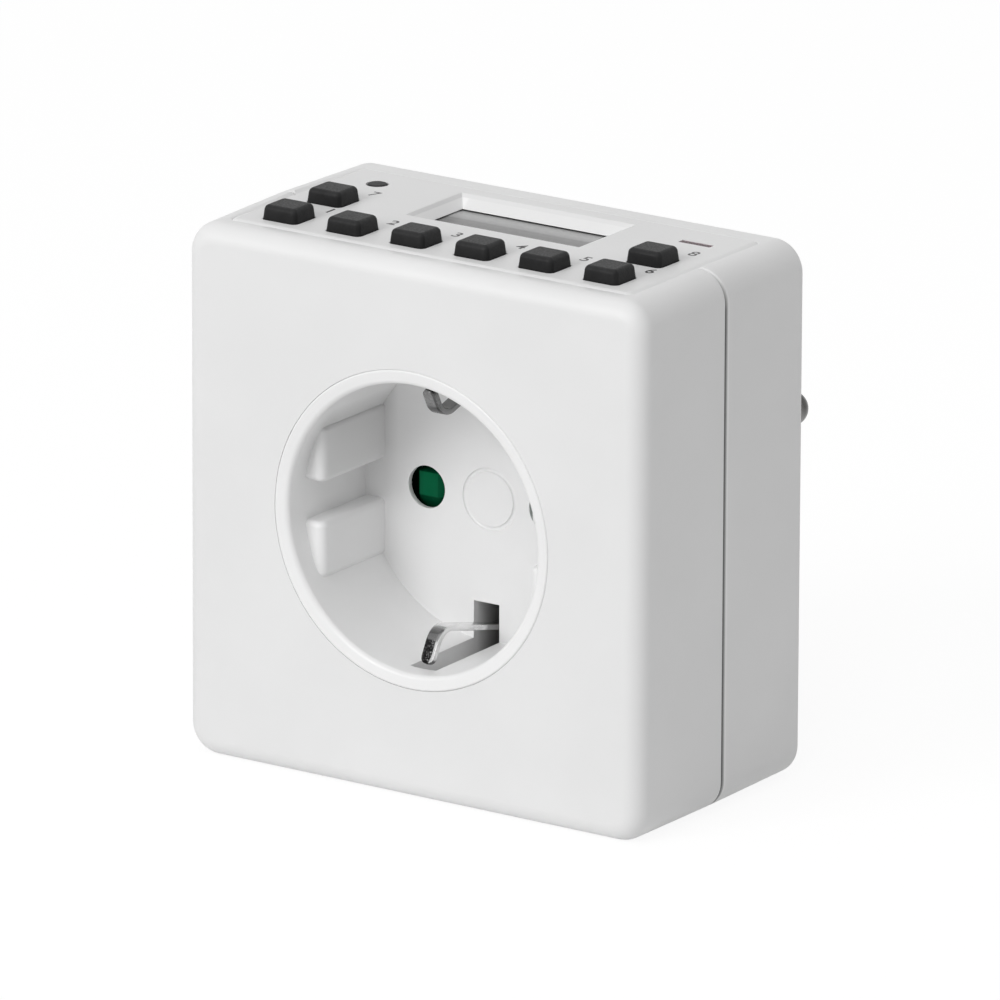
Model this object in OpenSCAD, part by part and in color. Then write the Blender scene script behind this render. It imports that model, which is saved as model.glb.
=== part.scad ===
// Plug-in digital timer switch with a side-earthed socket in front and its plug behind.
// X runs across the casing, Y from the socket towards the plug, Z upwards. Millimetres.
// The origin is the middle of the plug's end face, on the axis that plug and socket share.

/* [Casing] */
// Width of the casing at the parting line
casing_w = 72; // [71:0.2:76]
// Height of the casing at the parting line
casing_h = 72.6; // [72:0.2:76]
// Depth of the casing without the plug
casing_d = 38; // [37.6:0.2:42]
// Thickness of the casing walls
wall = 2; // [1.6:0.1:2.2]
// Radius of the four upright corners, seen from the front
corner_r = 4.2; // [3.6:0.1:6]
// Radius round the edge of the front face
front_edge_r = 2.6; // [1:0.1:3.2]
// Radius round the edge of the rear face
rear_edge_r = 1.2; // [0.6:0.1:2]
// Draft angle of the top and the sides, both ways from the parting line
draft = 0.8; // [0:0.1:1.2]
// Width of the shadow gap along the parting line
seam_gap = 0.35; // [0.2:0.05:0.5]

/* [Socket] */
// How far the socket and plug axis lies above the middle of the casing
socket_lift = 0.2; // [-0.6:0.1:1]
// Radius of the recess at its mouth
mouth_r = 19.4; // [19.3:0.05:19.6]
// How much narrower the recess is at its floor, on the radius
recess_taper = 0.1; // [0:0.05:0.2]
// Width of the rim round the mouth
rim_w = 2; // [1.8:0.1:2.4]
// How far the rim's outer edge stands proud of the front face
rim_rise = 0.1; // [0:0.05:0.4]
// How steeply the rim falls towards the mouth, in degrees
rim_lean = 15; // [5:1:20]
// Depth of the recess below the front face
recess_depth = 17.5; // [17:0.1:18]
// Thickness of the recess floor
floor_t = 1.5; // [1.2:0.1:1.8]
// Distance between the two pin axes
pin_pitch = 19; // [18.8:0.1:19.2]
// Radius of the pin holes in the floor
pin_hole_r = 3; // [2.8:0.1:3.2]
// Distance between the facing guide ribs, left to right
rib_span = 32.2; // [31.8:0.1:32.8]
// Height of one guide rib
rib_h = 7.6; // [7:0.1:8]
// Gap between the two guide ribs on one side
rib_gap = 5.4; // [5:0.1:6]
// Depth of the front end of the ribs below the front face
rib_setback = 3.3; // [2.5:0.1:4.5]
// Slope of the ribs' front ends towards the wall, in degrees
rib_lean = 8; // [4:1:20]
// Radius of the ribs' rounded noses
rib_nose = 1.4; // [0.8:0.1:1.8]

/* [Earth contacts] */
// Width of the socket's earth clips
clip_w = 2; // [1.8:0.1:2.6]
// Thickness of the earth strips
strip_t = 0.7; // [0.6:0.1:0.9]
// Distance between the crests of the two clips
clip_span = 28.9; // [28:0.1:29.2]
// Radius of the bend at a clip's crest
crest_r = 2; // [1.5:0.1:2.5]
// Width of the plug's earth contacts
plug_clip_w = 4; // [3.6:0.1:4.4]

/* [Shutter] */
// Height of the shutter blade that covers the pin holes
shutter_h = 8.4; // [8:0.1:9]
// Travel of the shutter
shutter_travel = 6.6; // [6.4:0.1:7]
// Thickness of the shutter
shutter_t = 1.6; // [1.4:0.1:1.8]
// Wire diameter of the shutter spring
spring_wire = 0.45; // [0.4:0.05:0.5]
// Outer diameter of the shutter spring
spring_d = 3.4; // [3:0.1:3.6]
// Turns of the shutter spring
spring_turns = 5; // [4:1:5]

/* [Plug] */
// Radius of the plug body
boss_r = 18.9; // [18.6:0.1:19.2]
// Length of the plug body behind the rear face
boss_len = 20.4; // [19.5:0.1:21.5]
// Diameter of the plug pins
pin_d = 4.8; // [4.7:0.05:4.85]
// Length of the plug pins
pin_len = 19; // [18.5:0.1:19.5]
// Thickness of the plug body's end wall
end_wall = 3; // [2.5:0.1:4]

/* [Control panel] */
// Width of the casing's edge left and right of the control panel
panel_side = 4.75; // [4.6:0.05:5.5]
// Width of the casing's edge in front of and behind the control panel
panel_edge_d = 3.75; // [3.6:0.05:4.2]
// Thickness of the control panel
panel_t = 1.6; // [1.4:0.1:1.8]
// Corner radius of the control panel
panel_corner_r = 1.2; // [0.8:0.1:3]
// Width of the display window at the surface
window_w = 27.2; // [26:0.1:29]
// Depth, front to back, of the display window at the surface
window_d = 13.1; // [12.5:0.1:13.4]
// How deep the window's sloping walls go
window_sink = 0.8; // [0.6:0.1:1]
// How far the left and right sloping walls lean in
window_side_lean = 1.5; // [1:0.1:1.8]
// How far the front and rear sloping walls lean in
window_end_lean = 2; // [1.5:0.1:2.3]
// Width of a key at the surface
key_w = 5.3; // [4.8:0.1:5.6]
// Depth, front to back, of a key at the surface
key_d = 5; // [4.6:0.1:5.2]
// How far the keys stand out of the panel
key_rise = 2; // [1.4:0.1:3]
// Distance from the panel's side to the middle of the outer keys
key_inset = 6.25; // [5.8:0.05:6.8]
// Distance from the panel's front edge to the middle of the front keys
key_row = 4.65; // [4.4:0.05:4.9]
// Distance between the two rows of keys
row_pitch = 10; // [9.6:0.1:10.4]
// Travel of a key
key_travel = 0.8; // [0.5:0.1:0.8]
// Diameter of the hole round the reset key
reset_d = 3; // [2.6:0.1:3.4]
// Width of the indicator window
lamp_w = 4.7; // [4:0.1:5]
// Depth, front to back, of the indicator window
lamp_d = 1.1; // [0.9:0.1:1.6]

/* [Electronics] */
// Thickness of the circuit boards
board_t = 1.2; // [1:0.1:1.6]
// Length of the relay, across the casing
relay_l = 19; // [17:0.5:20]
// Depth of the relay, front to back
relay_d = 15.3; // [14:0.1:15.4]
// Height of the relay
relay_h = 15.2; // [12:0.1:15.6]
// Width of the ribbon cable
cable_w = 8; // [6:0.5:9]
// Thickness of the backup cell
cell_t = 5.4; // [4:0.1:6]
// Diameter of the insulated wires
wire_d = 2.2; // [1.8:0.1:2.4]

/* [Fasteners] */
// Thread diameter of the casing screws
screw_d = 2.9; // [2.6:0.1:3]
// Length of the casing screws under the head
screw_len = 16; // [14:0.5:17]
// Head diameter of the casing screws
screw_head_d = 5.4; // [5:0.1:5.6]

/* [Fits] */
// Radial clearance of a pin or screw in its hole
pin_fit = 0.05; // [0.03:0.01:0.1]
// Clearance round a piece that sits in an opening
seat_fit = 0.15; // [0.1:0.05:0.2]
// Clearance round a key in the panel
key_fit = 0.2; // [0.15:0.05:0.3]

/* [Hidden] */
$fn = 48;
edge_fn = 32;

// Places, counted from the front face (Y) and from the socket axis (Z)
seam_y = casing_d / 2;
base_z = -casing_h / 2 - socket_lift;
top_z = casing_h / 2 - socket_lift;
slim = tan(draft) * casing_d / 2;
overlap = 0.01;

// Recess floor, shutter space and contact carrier, one behind the other
floor_back = recess_depth + floor_t;
shutter_room = shutter_t + 0.4;
carrier_y = floor_back + shutter_room;
carrier_len = 10;
carrier_back = carrier_y + carrier_len;
carrier_w = 32;
carrier_low = -7;
spring_top = shutter_h / 2 + shutter_travel + 3;
carrier_high = spring_top + 1.6;
rail_w = 1.8;
ear_x = carrier_w / 2 + 1.8;
ear_r = 2.2;
ear_t = 2;

// Socket insert
cup_wall = 1.8;
cup_r = mouth_r + cup_wall - 0.1;
floor_r = mouth_r - recess_taper;
rim_r = mouth_r + rim_w;
mouth_edge = 0.8;
rim_edge = 0.3;
flange_r = rim_r + 1.2;
flange_t = 1.3;
collar_t = 1.3;
flange_y = wall;
rib_z = rib_gap / 2;
slot_w = 4;
slot_h = 7.6;
slot_z = mouth_r + 2.3;
clip_room = 5.5;
room_wall = 0.7;

// Earth strips
leg_z = floor_r - 1.4;
bridge_w = 6;
bridge_y = carrier_back + strip_t / 2 + 0.2;
rivet_r = 1.2;
boss_in_r = boss_r - 2.3;
boss_in_w = 28.4;
plug_leg_z = boss_in_r - 1;
plug_bridge_y = bridge_y + strip_t;
plug_flat_z = boss_r - 0.7;

// Plug
pin_r = pin_d / 2;
plug_y = casing_d + boss_len;
end_in_y = plug_y - end_wall;
shoulder_r = pin_r + 0.3;
pin_flange_r = 3.7;
pin_flange_t = 1.5;
tail_r = 2;
clamp_t = 1.5;
clamp_y = end_in_y - pin_flange_t - clamp_t;
tail_end_y = clamp_y - 2.8;

// Contacts
contact_z = -4.6;
contact_t = 0.8;
contact_gap = pin_d - 0.4;
contact_h = 8;
tab_back = carrier_back + 3;
bar_low = contact_z - contact_t - strip_t;

// Control panel and what is under it
panel_w = casing_w - 2 * panel_side;
panel_d = casing_d - 2 * panel_edge_d;
panel_z = top_z - 0.1;
panel_low = panel_z - panel_t;
panel_edge = 0.4;
frame_t = 1.2;
frame_z = top_z - wall - slim - frame_t;
frame_reach = 1;
frame_in = 1.25;
window_y = panel_d / 2 - 2.8 - window_d / 2;
low_w = window_w - 2 * window_side_lean;
low_d = window_d - 2 * window_end_lean;
key_row_y = key_row - panel_d / 2;
rear_key_y = key_row_y + row_pitch;
key_x = panel_w / 2 - key_inset;
key_pitch = key_x / 2.5;
flange_gap = 0.2;
key_flange = 0.85;
key_flange_t = 1.2;
mat_t = 1;
pill_gap = 0.1;
pill_r = 1.9;
key_flange_z = panel_low - flange_gap - key_flange_t;
mat_top = key_flange_z - 1.9 - key_travel - pill_gap;
board_top = mat_top - mat_t;
board_z = board_top - board_t;
board_w = panel_w - 2.9;
board_d = panel_d - 1.9;
hook_x = board_w / 2 + 0.5;
hook_w = 6;
hook_places = [4.3 - board_d / 2, board_d / 2 - 11.3];
reset_y = panel_d / 2 - 5.75;
reset_rise = 0.1;
reset_flange_r = 2.6;
lamp_y = panel_d / 2 - 5.75;
glass_t = 2.2;
glass_w = low_w + 6;
glass_d = low_d + 4.6;
glass_z = panel_low - 0.1 - glass_t;
lcd_wall = 1.1;

// Power board
board_y0 = 4;
board_y1 = casing_d - wall - 0.5;
power_z = base_z + wall + 2.5 + board_t;
part_gap = 0.3;

// Screw posts
post_x = casing_w / 2 - 5.5;
post_low_z = base_z + 6;
post_high_z = top_z - 14.1;
post_r = 3.1;
tube_r = 4.2;
head_depth = 11;
power_w = 2 * (post_x - tube_r - part_gap);
relay_side = relay_l - power_w / 2;
relay_y = board_y1 - relay_d;
relay_top = power_z + relay_h;
wire_x = relay_side + wire_d / 2 + part_gap;
cell_d = relay_y - board_y0 - 2 * part_gap;
cell_x = cell_d / 2 + 1.2 - power_w / 2;
can_r = 4;
can_x = power_w / 2 - can_r - 0.5;
can_y = board_y1 - can_r - 7;
varistor_r = 4.5;
varistor_x = can_x - can_r - varistor_r - part_gap;
varistor_y = can_y - 2;
film_l = 9.5;
film_d = 5.4;
film_h = 11;
film_x = min(wire_x + wire_d / 2 + 7.5, can_x - can_r - part_gap - film_l);
film_y = board_y1 - 3.6 - film_d;
can_h = 12;
resistor_r = 1.9;
resistor_l = 11;
resistor_x = cell_x + cell_d / 2 + 5.2;
cable_x = power_w / 2 - cable_w / 2 - 1.5;
cable_y = board_y1 - 1.2;
POSTS = [for (sx = [-1, 1], z = [post_low_z, post_high_z]) [sx * post_x, z]];

// ---------- shared shapes ----------

// From the middle of the front face's socket to the part's own origin
module on_axis() {
    translate([0, -plug_y, 0]) children();
}

// A round bar along Y between two depths
module bar_y(r, y0, y1, x = 0, z = 0) {
    translate([x, y0, z]) rotate([-90, 0, 0]) cylinder(r = r, h = y1 - y0);
}

// A box given by its two corners
module block(low, high) {
    translate(low) cube(high - low);
}

// Flat rounded rectangle centred on X, from z0 to z1, drawn in the XZ plane and pushed along Y
module slab_y(w, z0, z1, r, y0, y1) {
    translate([0, y0, 0]) rotate([90, 0, 0]) mirror([0, 0, 1]) linear_extrude(y1 - y0)
        plate(w, z1 - z0, r, (z0 + z1) / 2);
}

// Rounded rectangle with true arcs
module plate(w, h, r, yc = 0) {
    translate([0, yc]) {
        square([w, h - 2 * r], center = true);
        square([w - 2 * r, h], center = true);
        for (sx = [-1, 1], sy = [-1, 1])
            translate([sx * (w / 2 - r), sy * (h / 2 - r)]) circle(r);
    }
}

// Ring round the Y axis: a flat profile of [radius, depth] points, revolved
module spun(points, angle = 360) {
    rotate([-90, 0, 0]) rotate_extrude(angle = angle, $fn = 96) polygon(points);
}

// Points of an arc
function arc(cx, cy, r, a0, a1, n = 6) =
    [for (i = [0:n]) let (a = a0 + (a1 - a0) * i / n) [cx + r * cos(a), cy + r * sin(a)]];

// One side of a bent strip: the line moved sideways by d, mitred at each bend
function unit(v) = v / norm(v);
function normal_at(p, i) = let (
        a = unit(p[max(i, 1)] - p[max(i, 1) - 1]),
        b = unit(p[min(i, len(p) - 2) + 1] - p[min(i, len(p) - 2)]),
        m = unit(a + b))
    [-m[1], m[0]] / (m * a);
function side(p, d) = [for (i = [0:len(p) - 1]) p[i] + d * normal_at(p, i)];
function reversed(p) = [for (i = [len(p) - 1:-1:0]) p[i]];
function strip(p, t) = concat(side(p, t / 2), reversed(side(p, -t / 2)));

// A strip bent in the YZ plane, w wide across X
module bent_strip(line, t, w, x = 0) {
    translate([x - w / 2, 0, 0]) rotate([90, 0, 90]) linear_extrude(w) polygon(strip(line, t));
}

// Smooth line through points, and a round wire along it
function along(p, i, u) = let (
        n = len(p) - 1, a = p[max(i - 1, 0)], b = p[i], c = p[i + 1], d = p[min(i + 2, n)])
    0.5 * (2 * b + (c - a) * u + (2 * a - 5 * b + 4 * c - d) * u * u
        + (3 * b - a - 3 * c + d) * u * u * u);
function smooth(p, n) = concat([for (i = [0:len(p) - 2], k = [0:n - 1]) along(p, i, k / n)],
    [p[len(p) - 1]]);
function heading(p, i) = unit(p[min(i + 1, len(p) - 1)] - p[max(i - 1, 0)]);
function ring(c, t, r, n) = let (s = unit(cross(t, [1, 0.02, 0.03])), q = cross(t, s))
    [for (k = [0:n - 1]) c + r * (cos(360 * k / n) * s + sin(360 * k / n) * q)];
module wire(line, r, n = 8) {
    rings = len(line);
    points = [for (i = [0:rings - 1]) each ring(line[i], heading(line, i), r, n)];
    sides = [for (i = [0:rings - 2], k = [0:n - 1])
        [i * n + k, i * n + (k + 1) % n, (i + 1) * n + (k + 1) % n, (i + 1) * n + k]];
    polyhedron(points, concat([[for (k = [n - 1:-1:0]) k]], sides,
        [[for (k = [0:n - 1]) (rings - 1) * n + k]]), convexity = 6);
}

// ---------- casing ----------

// Solid form of one half, from its outer face at Y 0 to the parting line
module half_form(edge_r) {
    x = casing_w / 2 - corner_r;
    hull() {
        slab_y(casing_w, base_z, top_z, corner_r, seam_y - overlap, seam_y, $fn = edge_fn);
        for (sx = [-1, 1], z = [base_z + corner_r, top_z - corner_r - slim])
            translate([sx * (x - slim), edge_r, z]) rotate([-90, 0, 0])
                rotate_extrude($fn = edge_fn) polygon(concat([[0, -edge_r]],
                    arc(corner_r - edge_r, 0, edge_r, -90, 90, 16), [[0, edge_r]]));
    }
}

// Hollow of one half, from the depth y0 to y1
module half_hollow(y0, y1) {
    slab_y(casing_w - 2 * (wall + slim), base_z + wall, top_z - wall - slim,
        corner_r - wall, y0, y1);
}

// What the two halves leave open for the control panel
module panel_opening() {
    block([-panel_w / 2 - seat_fit, seam_y - panel_d / 2 - seat_fit, top_z - 2 * wall],
        [panel_w / 2 + seat_fit, seam_y + panel_d / 2 + seat_fit, top_z + 1]);
}

// Shadow gap round the parting line, half of it in each half
module seam_groove() {
    difference() {
        block([-casing_w, seam_y - seam_gap / 2, base_z - 1],
            [casing_w, seam_y + seam_gap / 2, top_z + 1]);
        slab_y(casing_w - 1, base_z + 0.5, top_z - 0.5, corner_r - 0.5, seam_y - 1, seam_y + 1);
    }
}

// Locating lip inside the wall, standing past the parting line by reach
module lip(inset, y0, y1) {
    difference() {
        slab_y(casing_w - 2 * inset, base_z + inset, top_z - inset, corner_r - inset, y0, y1);
        slab_y(casing_w - 2 * (wall + slim), base_z + wall, top_z - wall - slim,
            corner_r - wall, y0 - 1, y1 + 1);
    }
}

// Upright ribs that carry the power board
module board_ribs(y0, y1) {
    for (sx = [-1, 1])
        block([sx * 20 - 0.8, y0, base_z + wall - overlap], [sx * 20 + 0.8, y1, power_z - board_t]);
}

module front_shell() color([0.93, 0.93, 0.93]) on_axis() difference() {
    union() {
        difference() {
            half_form(front_edge_r);
            half_hollow(wall, seam_y + 1);
        }
        lip(wall / 2 + 0.1, seam_y - 2, seam_y + 1.2);
        for (p = POSTS) bar_y(post_r, wall - overlap, seam_y, p[0], p[1]);
        board_ribs(wall - overlap, seam_y - 1);
        // collar round the socket insert, with four snap hooks behind its flange
        spun([[flange_r + seat_fit, wall - overlap], [flange_r + collar_t, wall - overlap],
            [flange_r + collar_t, wall + 3], [flange_r + seat_fit, wall + 3]]);
        for (a = [35, 125, 215, 305]) rotate([0, a, 0])
            spun([[flange_r + 0.5, wall + 0.5], [flange_r + collar_t - 0.2, wall + 0.5],
                [flange_r + collar_t - 0.2, wall + 5], [flange_r + 0.5, wall + 5],
                [flange_r - 0.5, flange_y + flange_t + 1], [flange_r - 0.5, flange_y + flange_t + 0.1],
                [flange_r + 0.5, flange_y + flange_t + 0.1]], 20);
    }
    bar_y(rim_r + 0.1, -1, wall + 1);
    panel_opening();
    for (p = POSTS) bar_y(screw_d / 2 + pin_fit, seam_y - head_depth, seam_y + 1, p[0], p[1]);
    seam_groove();
}

// One keyway per side rib of a socket, cut in the flank of the plug body
module plug_keyways() {
    for (sx = [0, 1], sz = [0, 1]) mirror([sx, 0, 0]) mirror([0, 0, sz])
        block([rib_span / 2 - 0.4, casing_d + 2, rib_gap / 2 - 0.4],
            [boss_r + 1, plug_y + 1, rib_gap / 2 + rib_h + 0.4]);
}

module boss_hollow() {
    intersection() {
        bar_y(boss_in_r, casing_d - wall - 1, end_in_y);
        block([-boss_in_w / 2, 0, -boss_r], [boss_in_w / 2, plug_y, boss_r]);
    }
}

// Flat seat and slot for one earth contact on the plug body, top or bottom
module plug_clip_seats() {
    for (sz = [0, 1]) mirror([0, 0, sz]) {
        block([-plug_clip_w / 2 - 0.3, casing_d + 2, plug_flat_z - strip_t / 2 - 0.3],
            [plug_clip_w / 2 + 0.3, plug_y - 1.2, boss_r + 1]);
        block([-plug_clip_w / 2 - 0.3, casing_d + 2, plug_leg_z - strip_t],
            [plug_clip_w / 2 + 0.3, casing_d + 5.5, boss_r + 1]);
    }
}

module rear_shell() color([0.92, 0.92, 0.92]) on_axis() difference() {
    union() {
        difference() {
            translate([0, casing_d, 0]) mirror([0, 1, 0]) half_form(rear_edge_r);
            half_hollow(seam_y - 1, casing_d - wall);
        }
        for (p = POSTS) {
            bar_y(tube_r, casing_d - head_depth - 1, casing_d - 0.5, p[0], p[1]);
            bar_y(post_r, seam_y, casing_d - head_depth, p[0], p[1]);
        }
        board_ribs(seam_y + 1, casing_d - wall + overlap);
        // plug body with a chamfered end
        spun([[0, casing_d - wall], [boss_r, casing_d - wall], [boss_r, plug_y - 1],
            [boss_r - 1, plug_y], [0, plug_y]]);
    }
    boss_hollow();
    plug_keyways();
    plug_clip_seats();
    lip(wall / 2, seam_y - 1, seam_y + 1.4);
    panel_opening();
    for (sx = [-1, 1]) bar_y(shoulder_r + pin_fit, end_in_y - 1, plug_y + 1, sx * pin_pitch / 2);
    // blind hole for the clamp's screw
    bar_y(screw_d / 2 + pin_fit, end_in_y - 1, end_in_y + 2.2);
    for (p = POSTS) {
        bar_y(screw_d / 2 + 0.25, seam_y - 1, casing_d, p[0], p[1]);
        bar_y(screw_head_d / 2 + 0.4, casing_d - head_depth, casing_d + 1, p[0], p[1]);
    }
    seam_groove();
}

module case_screws() color([0.75, 0.75, 0.77]) on_axis() for (p = POSTS) {
    seat = casing_d - head_depth;
    difference() {
        union() {
            bar_y(screw_d / 2, seat - screw_len, seat + 0.5, p[0], p[1]);
            translate([p[0], 0, p[1]]) spun([[0, seat], [screw_head_d / 2, seat],
                [screw_head_d / 2 - 0.3, seat + 1], [screw_head_d / 2 - 1.2, seat + 1.8],
                [0, seat + 2]]);
        }
        // cross recess
        for (a = [0, 90]) translate([p[0], seat + 1, p[1]]) rotate([0, a, 0])
            block([-1.5, 0, -0.3], [1.5, 2, 0.3]);
    }
}

// ---------- control panel ----------

// Rounded plate lying flat, centred on the parting line
module flat_plate(w, d, r, z0, z1, y = 0) {
    translate([0, seam_y + y, z0]) linear_extrude(z1 - z0) plate(w, d, r);
}

module key_hole(x, y) {
    translate([x, seam_y + y, panel_low - 1]) linear_extrude(panel_t + 2)
        plate(key_w + 2 * key_fit, key_d + 2 * key_fit, 0.7);
}

// Window with four sloping walls, above a straight opening
module display_window() {
    translate([0, seam_y + window_y, 0]) {
        sink_z = panel_z - window_sink;
        hull() {
            block([-window_w / 2, -window_d / 2, panel_z], [window_w / 2, window_d / 2, panel_z + 1]);
            block([-low_w / 2, -low_d / 2, sink_z - overlap], [low_w / 2, low_d / 2, sink_z]);
        }
        block([-low_w / 2, -low_d / 2, panel_low - 1], [low_w / 2, low_d / 2, sink_z]);
    }
}

// Legs with hooks that hold the display board under the panel
module board_hooks() {
    for (sx = [0, 1], y = hook_places) mirror([sx, 0, 0]) translate([0, seam_y + y, 0]) {
        block([hook_x - 0.4, 0, board_z - 0.9], [hook_x + 0.5, hook_w, panel_low + overlap]);
        block([hook_x - 1.3, 0, board_z - 0.9], [hook_x, hook_w, board_z - 0.1]);
    }
}

module control_panel() color([0.9, 0.9, 0.9]) on_axis() difference() {
    union() {
        // visible plate, its top edge rounded off
        flat_plate(panel_w, panel_d, panel_corner_r, panel_low, panel_z - panel_edge);
        hull() {
            flat_plate(panel_w, panel_d, panel_corner_r, panel_z - panel_edge - overlap,
                panel_z - panel_edge, $fn = edge_fn);
            flat_plate(panel_w - 0.25, panel_d - 0.25, panel_corner_r - 0.12,
                panel_z - panel_edge, panel_z - 0.12, $fn = edge_fn);
            flat_plate(panel_w - 2 * panel_edge, panel_d - 2 * panel_edge,
                panel_corner_r - panel_edge, panel_z - 0.12, panel_z, $fn = edge_fn);
        }
        // frame under the casing's edge
        difference() {
            union() {
                flat_plate(panel_w + 2 * frame_reach, panel_d + 2 * frame_reach, 1,
                    frame_z, frame_z + frame_t);
                flat_plate(panel_w, panel_d, panel_corner_r, frame_z, panel_low + overlap);
            }
            flat_plate(panel_w - 2 * frame_in, panel_d - 2 * frame_in, 1, frame_z - 1, panel_low + 1);
        }
        board_hooks();
    }
    display_window();
    for (i = [-2.5:1:2.5]) key_hole(i * key_pitch, key_row_y);
    for (sx = [-1, 1]) key_hole(sx * key_x, rear_key_y);
    translate([-key_x, seam_y + reset_y, panel_low - 1]) cylinder(d = reset_d, h = panel_t + 2);
    translate([key_x - lamp_w / 2, seam_y + lamp_y - lamp_d / 2, panel_low - 1])
        cube([lamp_w, lamp_d, panel_t + 2]);
}

// A rubber key: pill, flange and the tapered cap that stands out of the panel
module key(x, y) color([0.15, 0.15, 0.16]) on_axis() translate([x, seam_y + y, 0]) {
    cap_top = panel_z + key_rise;
    ball = 0.6;
    lean = 0.2;
    translate([0, 0, mat_top + key_travel + pill_gap])
        cylinder(r = pill_r, h = key_flange_z - mat_top - key_travel - pill_gap + overlap);
    translate([0, 0, key_flange_z]) linear_extrude(key_flange_t)
        plate(key_w + 2 * key_flange, key_d + 2 * key_flange, 1);
    hull() {
        translate([0, 0, key_flange_z + key_flange_t - overlap])
            linear_extrude(flange_gap + panel_t) plate(key_w, key_d, 0.55, $fn = 16);
        for (sx = [-1, 1], sy = [-1, 1])
            translate([sx * (key_w / 2 - lean - ball), sy * (key_d / 2 - lean - ball), cap_top - ball])
                sphere(ball, $fn = 16);
    }
}

module clock_key() key(-key_x, key_row_y);
module timer_key() key(-1.5 * key_pitch, key_row_y);
module mode_key() key(-0.5 * key_pitch, key_row_y);
module week_key() key(0.5 * key_pitch, key_row_y);
module hour_key() key(1.5 * key_pitch, key_row_y);
module minute_key() key(key_x, key_row_y);
module random_key() key(-key_x, rear_key_y);
module recall_key() key(key_x, rear_key_y);

module reset_key() color([0.13, 0.13, 0.14]) on_axis()
    translate([-key_x, seam_y + reset_y, 0]) {
        low = mat_top + key_travel + pill_gap;
        translate([0, 0, low]) cylinder(r = pill_r, h = key_flange_z - low + overlap);
        translate([0, 0, key_flange_z]) cylinder(r = reset_flange_r, h = key_flange_t);
        // stem with a rounded end, a little proud of the panel
        r = reset_d / 2 - key_fit + 0.05;
        end_r = 0.35;
        stem = panel_z + reset_rise - key_flange_z - key_flange_t + overlap;
        translate([0, 0, key_flange_z + key_flange_t - overlap]) rotate_extrude()
            polygon(concat([[0, 0], [r, 0]], arc(r - end_r, stem - end_r, end_r, 0, 90, 5),
                [[0, stem]]));
    }

module keypad_mat() color([0.2, 0.2, 0.22]) on_axis()
    translate([0, seam_y, board_top]) linear_extrude(mat_t) {
        difference() {
            square([board_w - 1.4, board_d - 0.6], center = true);
            // cleared for the display and for the lamp
            translate([-glass_w / 2 - lcd_wall - 0.6, window_y - glass_d / 2 - lcd_wall - 0.4])
                square([board_w, board_d]);
            translate([key_x - lamp_w / 2 - 1, lamp_y - 1.8]) square([lamp_w + 5, board_d]);
        }
        // pad under the recall key, joined to the front row
        translate([key_x - key_w / 2 - 1, key_row_y])
            square([key_w + 2, row_pitch + key_d / 2 + 1]);
    }

module lamp() color([0.75, 0.1, 0.12]) on_axis() translate([key_x, seam_y + lamp_y, board_top]) {
    body_h = 1.6;
    top = panel_low - 0.8 - 0.1 - board_top;
    block([-lamp_w / 2 - 0.5, -1.3, 0], [lamp_w / 2 + 0.5, 1.3, body_h]);
    block([-lamp_w / 2, -0.9, body_h - overlap], [lamp_w / 2, 0.9, top]);
}

module lamp_window() color([0.45, 0.12, 0.22]) on_axis() translate([key_x, seam_y + lamp_y, 0]) {
    fit = 0.05;
    block([-lamp_w / 2 + fit, -lamp_d / 2 + fit, panel_low - overlap],
        [lamp_w / 2 - fit, lamp_d / 2 - fit, panel_z - 0.1]);
    block([-lamp_w / 2 - 0.8, -lamp_d / 2 - 0.8, panel_low - 0.8],
        [lamp_w / 2 + 0.8, lamp_d / 2 + 0.8, panel_low]);
}

// ---------- display ----------

module display_board() color([0.1, 0.35, 0.2]) on_axis() difference() {
    translate([-board_w / 2, seam_y - board_d / 2, board_z]) cube([board_w, board_d, board_t]);
    // notches for the panel's hooks
    for (sx = [0, 1], y = hook_places) mirror([sx, 0, 0])
        translate([hook_x - 0.6, seam_y + y - part_gap, board_z - 1])
            cube([3, hook_w + 2 * part_gap, board_t + 2]);
}

module lcd_glass() color([0.55, 0.57, 0.55]) on_axis()
    translate([0, seam_y + window_y, glass_z]) {
        // lower glass is deeper than the upper one, which leaves the contact ledge
        block([-glass_w / 2, -glass_d / 2, 0], [glass_w / 2, glass_d / 2, glass_t / 2]);
        block([-glass_w / 2, -glass_d / 2 + 1, glass_t / 2 - overlap],
            [glass_w / 2, glass_d / 2 - 1, glass_t]);
    }

module lcd_frame() color([0.85, 0.85, 0.85]) on_axis()
    translate([0, seam_y + window_y, board_top]) difference() {
        rise = glass_z + glass_t / 2 - board_top;
        linear_extrude(rise) plate(glass_w + 2 * (lcd_wall + 0.1), glass_d + 2 * (lcd_wall + 0.1), 1);
        translate([0, 0, -1]) linear_extrude(rise + 2)
            square([glass_w + 0.2, glass_d + 0.2], center = true);
    }

module zebra_strips() color([0.25, 0.25, 0.27]) on_axis() for (sy = [-1, 1])
    translate([0, seam_y + window_y + sy * (glass_d / 2 - 1.1), 0])
        block([-glass_w / 2 + 1, -0.9, board_top], [glass_w / 2 - 1, 0.9, glass_z]);

module processor() color([0.08, 0.08, 0.08]) on_axis()
    translate([0, seam_y + 6, board_z - 1.5]) {
        block([-5, -5, 0], [5, 5, 1.5]);
        for (s = [-1, 1], i = [-4:4]) {
            block([s > 0 ? 5 - overlap : -6, i - 0.2, 1.2], [s > 0 ? 6 : -5 + overlap, i + 0.2, 1.5]);
            block([i - 0.2, s > 0 ? 5 - overlap : -6, 1.2], [i + 0.2, s > 0 ? 6 : -5 + overlap, 1.5]);
        }
    }

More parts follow.
